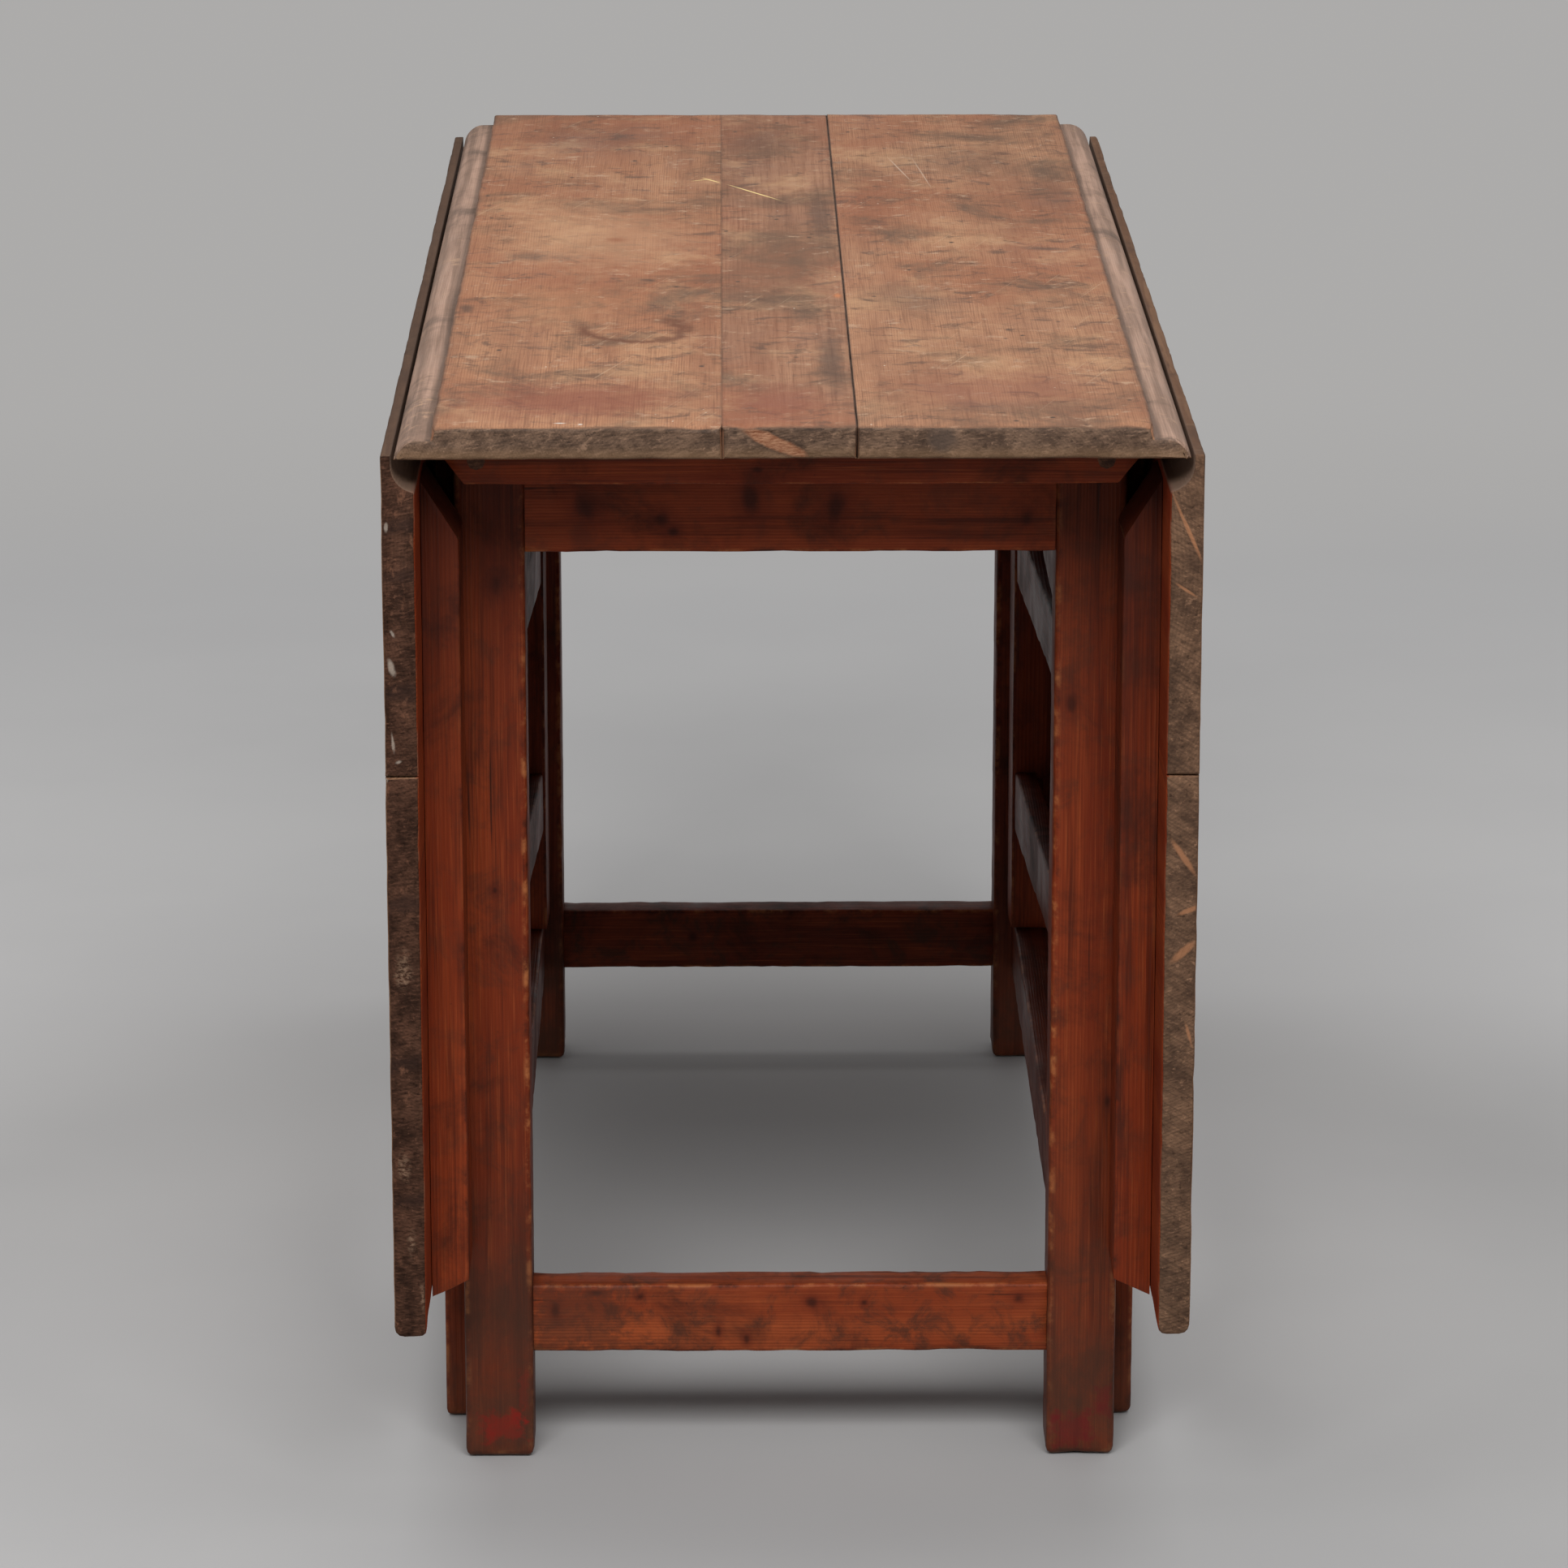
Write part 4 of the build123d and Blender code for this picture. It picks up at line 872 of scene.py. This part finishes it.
def build_side_rails():
    """Aprons and stretchers along the sides, notched for the gate legs; aprons let in for the hinges."""
    seeds = {"side_apron_left": 2.2, "side_stretcher_left": 5.9,
             "side_apron_right": 3.8, "side_stretcher_right": 6.7}
    reach = LEG_IN_Y + INTO_LEG
    plate_depth, plate_half, notch_half = 0.0031, 0.0286, 0.0288
    for name, seed in seeds.items():
        sign = -1 if name.endswith("left") else 1
        low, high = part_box(name)
        inner = sign * min(abs(low.x), abs(high.x))
        full = box_corners(inner, sign * RAIL_OUT_X, low.z, high.z)
        lap = box_corners(inner, sign * LAP_X, low.z, high.z)
        stations = [(-reach, full), (LAP_Y[0], full), (LAP_Y[0] + SMALL_STEP, lap),
                    (LAP_Y[1] - SMALL_STEP, lap), (LAP_Y[1], full)]
        if "apron" in name:
            let_in = box_corners(inner, sign * RAIL_OUT_X, low.z, high.z - plate_depth)
            for y in HINGE_Y:
                stations += [(y - notch_half, full), (y - plate_half, let_in),
                             (y + plate_half, let_in), (y + notch_half, full)]
        stations.append((reach, full))
        piece = plank(name, "Y", stations, [0.0022] * 4, seed, HIDDEN_ENDS, along=0.012)
        knots = (((0.1, low.z + 0.02), (0.008, 0.006), 0.0), ((-0.2, high.z - 0.02), (0.007, 0.006), 0.0))
        stain(piece, name, "frame", "Y", seed, (sign * 0.4, 0.2), (0.19, 0.036, 0.012),
              (0.10, 0.017, 0.007), knots=knots)


def build_leaves():
    """Hanging leaves: two boards each, the upper one coved, and two battens bevelled at both ends."""
    cove = arc((HINGE_X, HINGE_Z), COVE_R, 0.0, -math.acos((LEAF_IN_X - HINGE_X) / COVE_R))
    board_seeds = {"left": (1.9, 3.1), "right": (4.7, 6.4)}
    batten_seeds = {"left": (2.7, 5.1), "right": (7.4, 9.2)}
    batten_light = {"left": (0.255, 0.043, 0.0115), "right": (0.21, 0.033, 0.009)}
    upper_start, upper_cut, lower_start, lower_cut = 0.62, -0.040, 0.20, 0.012
    for side, sign in SIDES:
        body = f"leaf_{side}"
        for part, seed in zip(("upper", "lower"), board_seeds[side]):
            name = f"leaf_{side}_{part}_board"
            low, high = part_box(name)
            shape = [(LEAF_OUT_X, low.z), (LEAF_OUT_X, high.z)]
            if part == "upper":
                shape += [(HINGE_X + COVE_R, high.z)] + cove + [(LEAF_IN_X, low.z)]
                cuts = [0.0004, 0.0022, 0.0009] + [0.0] * ARC_STEPS + [0.0012, 0.0004]
            else:
                shape += [(LEAF_IN_X, high.z), (LEAF_IN_X, low.z)]
                cuts = [0.0072, 0.0004, 0.0004, 0.0064]
            shape = [(sign * u, v) for u, v in shape]
            piece = plank(name, "Y", straight(-HALF_LENGTH, HALF_LENGTH, shape), cuts, seed,
                          (0.0022, 0.0022), 0.009, 0.010, 0.0005, 0.0013)
            dress(piece, name, body, leaf_wood(side, part, seed))
        for end, seed in zip(ENDS, batten_seeds[side]):
            name = f"leaf_{side}_batten_{end}"
            low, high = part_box(name)
            shape = box_corners(sign * LEAF_BATTEN_X, sign * LEAF_IN_X, low.y, high.y)

            def bevel(p):
                if p.z > upper_start:
                    start, tip, cut = upper_start, high.z, upper_cut
                elif p.z < lower_start:
                    start, tip, cut = lower_start, low.z, lower_cut
                else:
                    return p
                f = (LEAF_IN_X - abs(p.x)) / (LEAF_IN_X - LEAF_BATTEN_X)
                return Vector((p.x, p.y, start + (p.z - start) * (tip + cut * f - start) / (tip - start)))

            piece = plank(name, "Z", straight(low.z, high.z, shape),
                          [0.002, 0.0003, 0.0003, 0.002], seed, (0.0008, 0.0008), remap=bevel)
            # The battens take painted shade towards their tops, under the table top.
            stain(piece, name, body, "Z", seed, (sign * 0.3, math.copysign(0.6, low.y)),
                  batten_light[side], (0.15, 0.020, 0.006), bared=0.12, sooty=0.75)


def build_gates():
    """Gates in their own frame, X outwards and Y along the rails, turned on the pivot to their rest."""
    leg_y, leg_out, leg_in, lap_in = (-0.783, -0.735), 0.018, -0.024, 0.0
    low_lap, high_lap, leg_top = (0.073, 0.131), 0.577, 0.7275
    post_x, post_y, post_z = 0.019, 0.025, (0.128, 0.5795)
    rail_y, rail_x, rail_thick = (-0.7355, -0.0245), (-0.0015, -0.017), 0.018
    for (side, sign), seed in zip(SIDES, (3.5, 8.1)):
        body = f"gate_{side}"
        turn = Matrix.Rotation(sign * GATE_REST, 4, "Z")
        turn = Matrix.Translation((sign * PIVOT[0], PIVOT[1], 0)) @ turn
        full = box_corners(sign * leg_in, sign * leg_out, *leg_y)
        lap = box_corners(sign * lap_in, sign * leg_out, *leg_y)
        stations = [(0.0, full), (low_lap[0], full), (low_lap[0] + SMALL_STEP, lap),
                    (low_lap[1] - SMALL_STEP, lap), (low_lap[1], full), (high_lap, full),
                    (high_lap + SMALL_STEP, lap), (leg_top, lap)]
        leg = plank(f"gate_{side}_leg", "Z", stations, [0.003] * 4, seed, (0.005, 0.0006),
                    0.0075, 0.011, place=turn)
        stain(leg, f"gate_{side}_leg", body, "Z", seed, (sign * 0.3, -0.5), soil=0.12, bared=0.8)
        shape = box_corners(sign * -post_x, sign * post_x, -post_y, post_y)
        post = plank(f"gate_{side}_post", "Z", straight(*post_z, shape), [0.0022] * 4, seed + 1,
                     (0.0012, 0.0012), place=turn)
        stain(post, f"gate_{side}_post", body, "Z", seed + 1, (sign * 0.3, 0.5))
        for part, z0, z1 in (("upper_rail", 0.414, 0.461), ("lower_rail", 0.210, 0.259)):
            stations = [(y, box_corners(sign * x, sign * (x + rail_thick), z0, z1))
                        for y, x in zip(rail_y, rail_x)]
            rail_seed = seed + z0 * 9
            rail = plank(f"gate_{side}_{part}", "Y", stations, [0.0022] * 4, rail_seed, HIDDEN_ENDS,
                         along=0.012, place=turn)
            stain(rail, f"gate_{side}_{part}", body, "Y", rail_seed, (sign * 0.4, 0.3),
                  light=(0.20, 0.036, 0.011))


def build_nails(metal):
    """Rose-headed nails in the hinge plates."""
    wide, narrow, tall, sides = 0.0042, 0.0012, 0.0022, 9
    for side, sign in SIDES:
        for place, y in zip(ENDS, HINGE_Y):
            leaf_heads = [(Vector((sign * 0.238, y + dy, z)), Vector((-sign, 0, 0)))
                          for dy, z in ((-0.012, 0.704), (0.012, 0.704), (-0.018, 0.646), (0.018, 0.646))]
            top_heads = [(Vector((sign * 0.2255, y + dy, 0.7255)), Vector((0, 0, -1)))
                         for dy in (-0.013, 0.013)]
            for part, body, heads in (("leaf", f"leaf_{side}", leaf_heads), ("top", "frame", top_heads)):
                bm = bmesh.new()
                for at, out in heads:
                    turn = Vector((0, 0, 1)).rotation_difference(out).to_matrix().to_4x4()
                    made = bmesh.ops.create_cone(bm, cap_ends=True, segments=sides, radius1=wide,
                                                 radius2=narrow, depth=tall)["verts"]
                    for v in made:
                        v.co.x += 0.0004 * math.sin(v.co.y * 2000)
                    turn = Matrix.Translation(at + out * 0.0011) @ turn
                    bmesh.ops.transform(bm, matrix=turn, verts=made)
                mesh = bpy.data.meshes.new(f"nails_{part}_{side}_{place}")
                bm.to_mesh(mesh)
                bm.free()
                obj = add_object(mesh.name, mesh)
                obj.data.materials.append(metal)
                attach(obj, body)


def dress_cad():
    """Better materials on the CAD pieces that stay."""
    metal = iron()
    for name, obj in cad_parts.items():
        if name.startswith("hinge_"):
            obj.data.materials.clear()
            obj.data.materials.append(metal)
    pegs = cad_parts["batten_pegs"]
    pegs.data.materials.clear()
    pegs.data.materials.append(
        frame_wood("peg_wood", "Y", 5.5, (0.0, 0.4), (0.34, 0.15, 0.07), (0.2, 0.07, 0.035)))
    return metal


# Studio
def build_stage():
    """Round studio floor: real near the table, with painted shade darkening it in front and to the sides, and
    an even grey further out.
    """
    radius, sides, below = 16.0, 96, -0.0002
    turns = [2 * math.pi * i / sides for i in range(sides)]
    mesh = bpy.data.meshes.new("studio_floor")
    mesh.from_pydata([(radius * math.cos(a), radius * math.sin(a), below) for a in turns], [],
                     [tuple(range(sides))])
    obj = add_object("studio_floor", mesh)
    g = Graph("studio_paper")
    cloud = g.noise(g.co, 2.2, 4, 0.5)
    out = g.hypot(g.x, g.y)
    # Painted shade: the floor darkens away from the table in front and to the sides, more on the right.
    floor_painted_shade = g.mul(g.step(out, 0.38, 0.64), g.step(g.y, 0.1, 0.7, 1.0, 0.0))
    paper = g.mix(g.step(cloud, 0.35, 0.65), (0.435, 0.43, 0.43), (0.455, 0.45, 0.448))
    paper = g.paint(paper, floor_painted_shade, g.step(g.x, -0.6, 0.6, 0.15, 0.25), (0.0, 0.0, 0.0))
    g.put(g.shader.inputs["Base Color"], paper)
    g.shader.inputs["Roughness"].default_value = 0.6
    g.shader.inputs["Specular IOR Level"].default_value = 0.2
    even = g.tree.nodes.new("ShaderNodeEmission")
    grey = g.mix(g.step(g.y, 1.9, 2.6), (0.405, 0.402, 0.405), (0.415, 0.408, 0.402))
    g.put(even.inputs["Color"], grey)
    rays = g.tree.nodes.new("ShaderNodeLightPath")
    seen = g.math("MAXIMUM", rays.outputs["Is Camera Ray"], rays.outputs["Is Glossy Ray"])
    seen = g.math("MAXIMUM", seen, rays.outputs["Is Transmission Ray"])
    blend = g.tree.nodes.new("ShaderNodeMixShader")
    g.put(blend.inputs[0], g.mul(seen, g.step(out, 1.1, 3.2)))
    g.put(blend.inputs[1], g.shader.outputs[0])
    g.put(blend.inputs[2], even.outputs[0])
    g.put(g.out.inputs[0], blend.outputs[0])
    obj.data.materials.append(g.material)


def build_light():
    """A wide lamp overhead, two in front and a white world."""
    lamp_front, aim_front = (0.9, -3.4, 3.15), (0.0, -0.2, 0.2)
    for name, where, aim, size, power in (
        ("overhead", (0.0, 0.3, 3.4), (0.0, 0.1, 0.0), (3.6, 3.0), 60),
        ("front_left", (-lamp_front[0], *lamp_front[1:]), aim_front, (1.6, 1.4), 84),
        ("front_right", lamp_front, aim_front, (1.6, 1.4), 72),
    ):
        data = bpy.data.lights.new(name, "AREA")
        data.shape = "RECTANGLE"
        data.size, data.size_y = size
        data.energy = power
        obj = add_object(name, data)
        obj.location = where
        obj.rotation_euler = (Vector(aim) - Vector(where)).to_track_quat("-Z", "Y").to_euler()
    world = bpy.data.worlds.new("studio")
    world.use_nodes = True
    back = world.node_tree.nodes["Background"]
    back.inputs["Color"].default_value = (1.0, 1.0, 1.0, 1.0)
    back.inputs["Strength"].default_value = 0.41
    bpy.context.scene.world = world
    bpy.context.scene.view_settings.view_transform = "Standard"


def build_camera():
    """Camera from the fit to the photograph."""
    data = bpy.data.cameras.new("camera")
    data.sensor_width = 36.0
    data.lens = 148.1
    obj = add_object("camera", data)
    obj.location = (-0.0447, -4.6135, 1.6095)
    obj.rotation_euler = (math.radians(74.72), 0.0, math.radians(-0.56))
    bpy.context.scene.camera = obj


build_top()
build_top_battens()
build_legs()
build_end_rails()
build_side_rails()
build_leaves()
build_gates()
build_nails(dress_cad())
build_stage()
build_light()
build_camera()
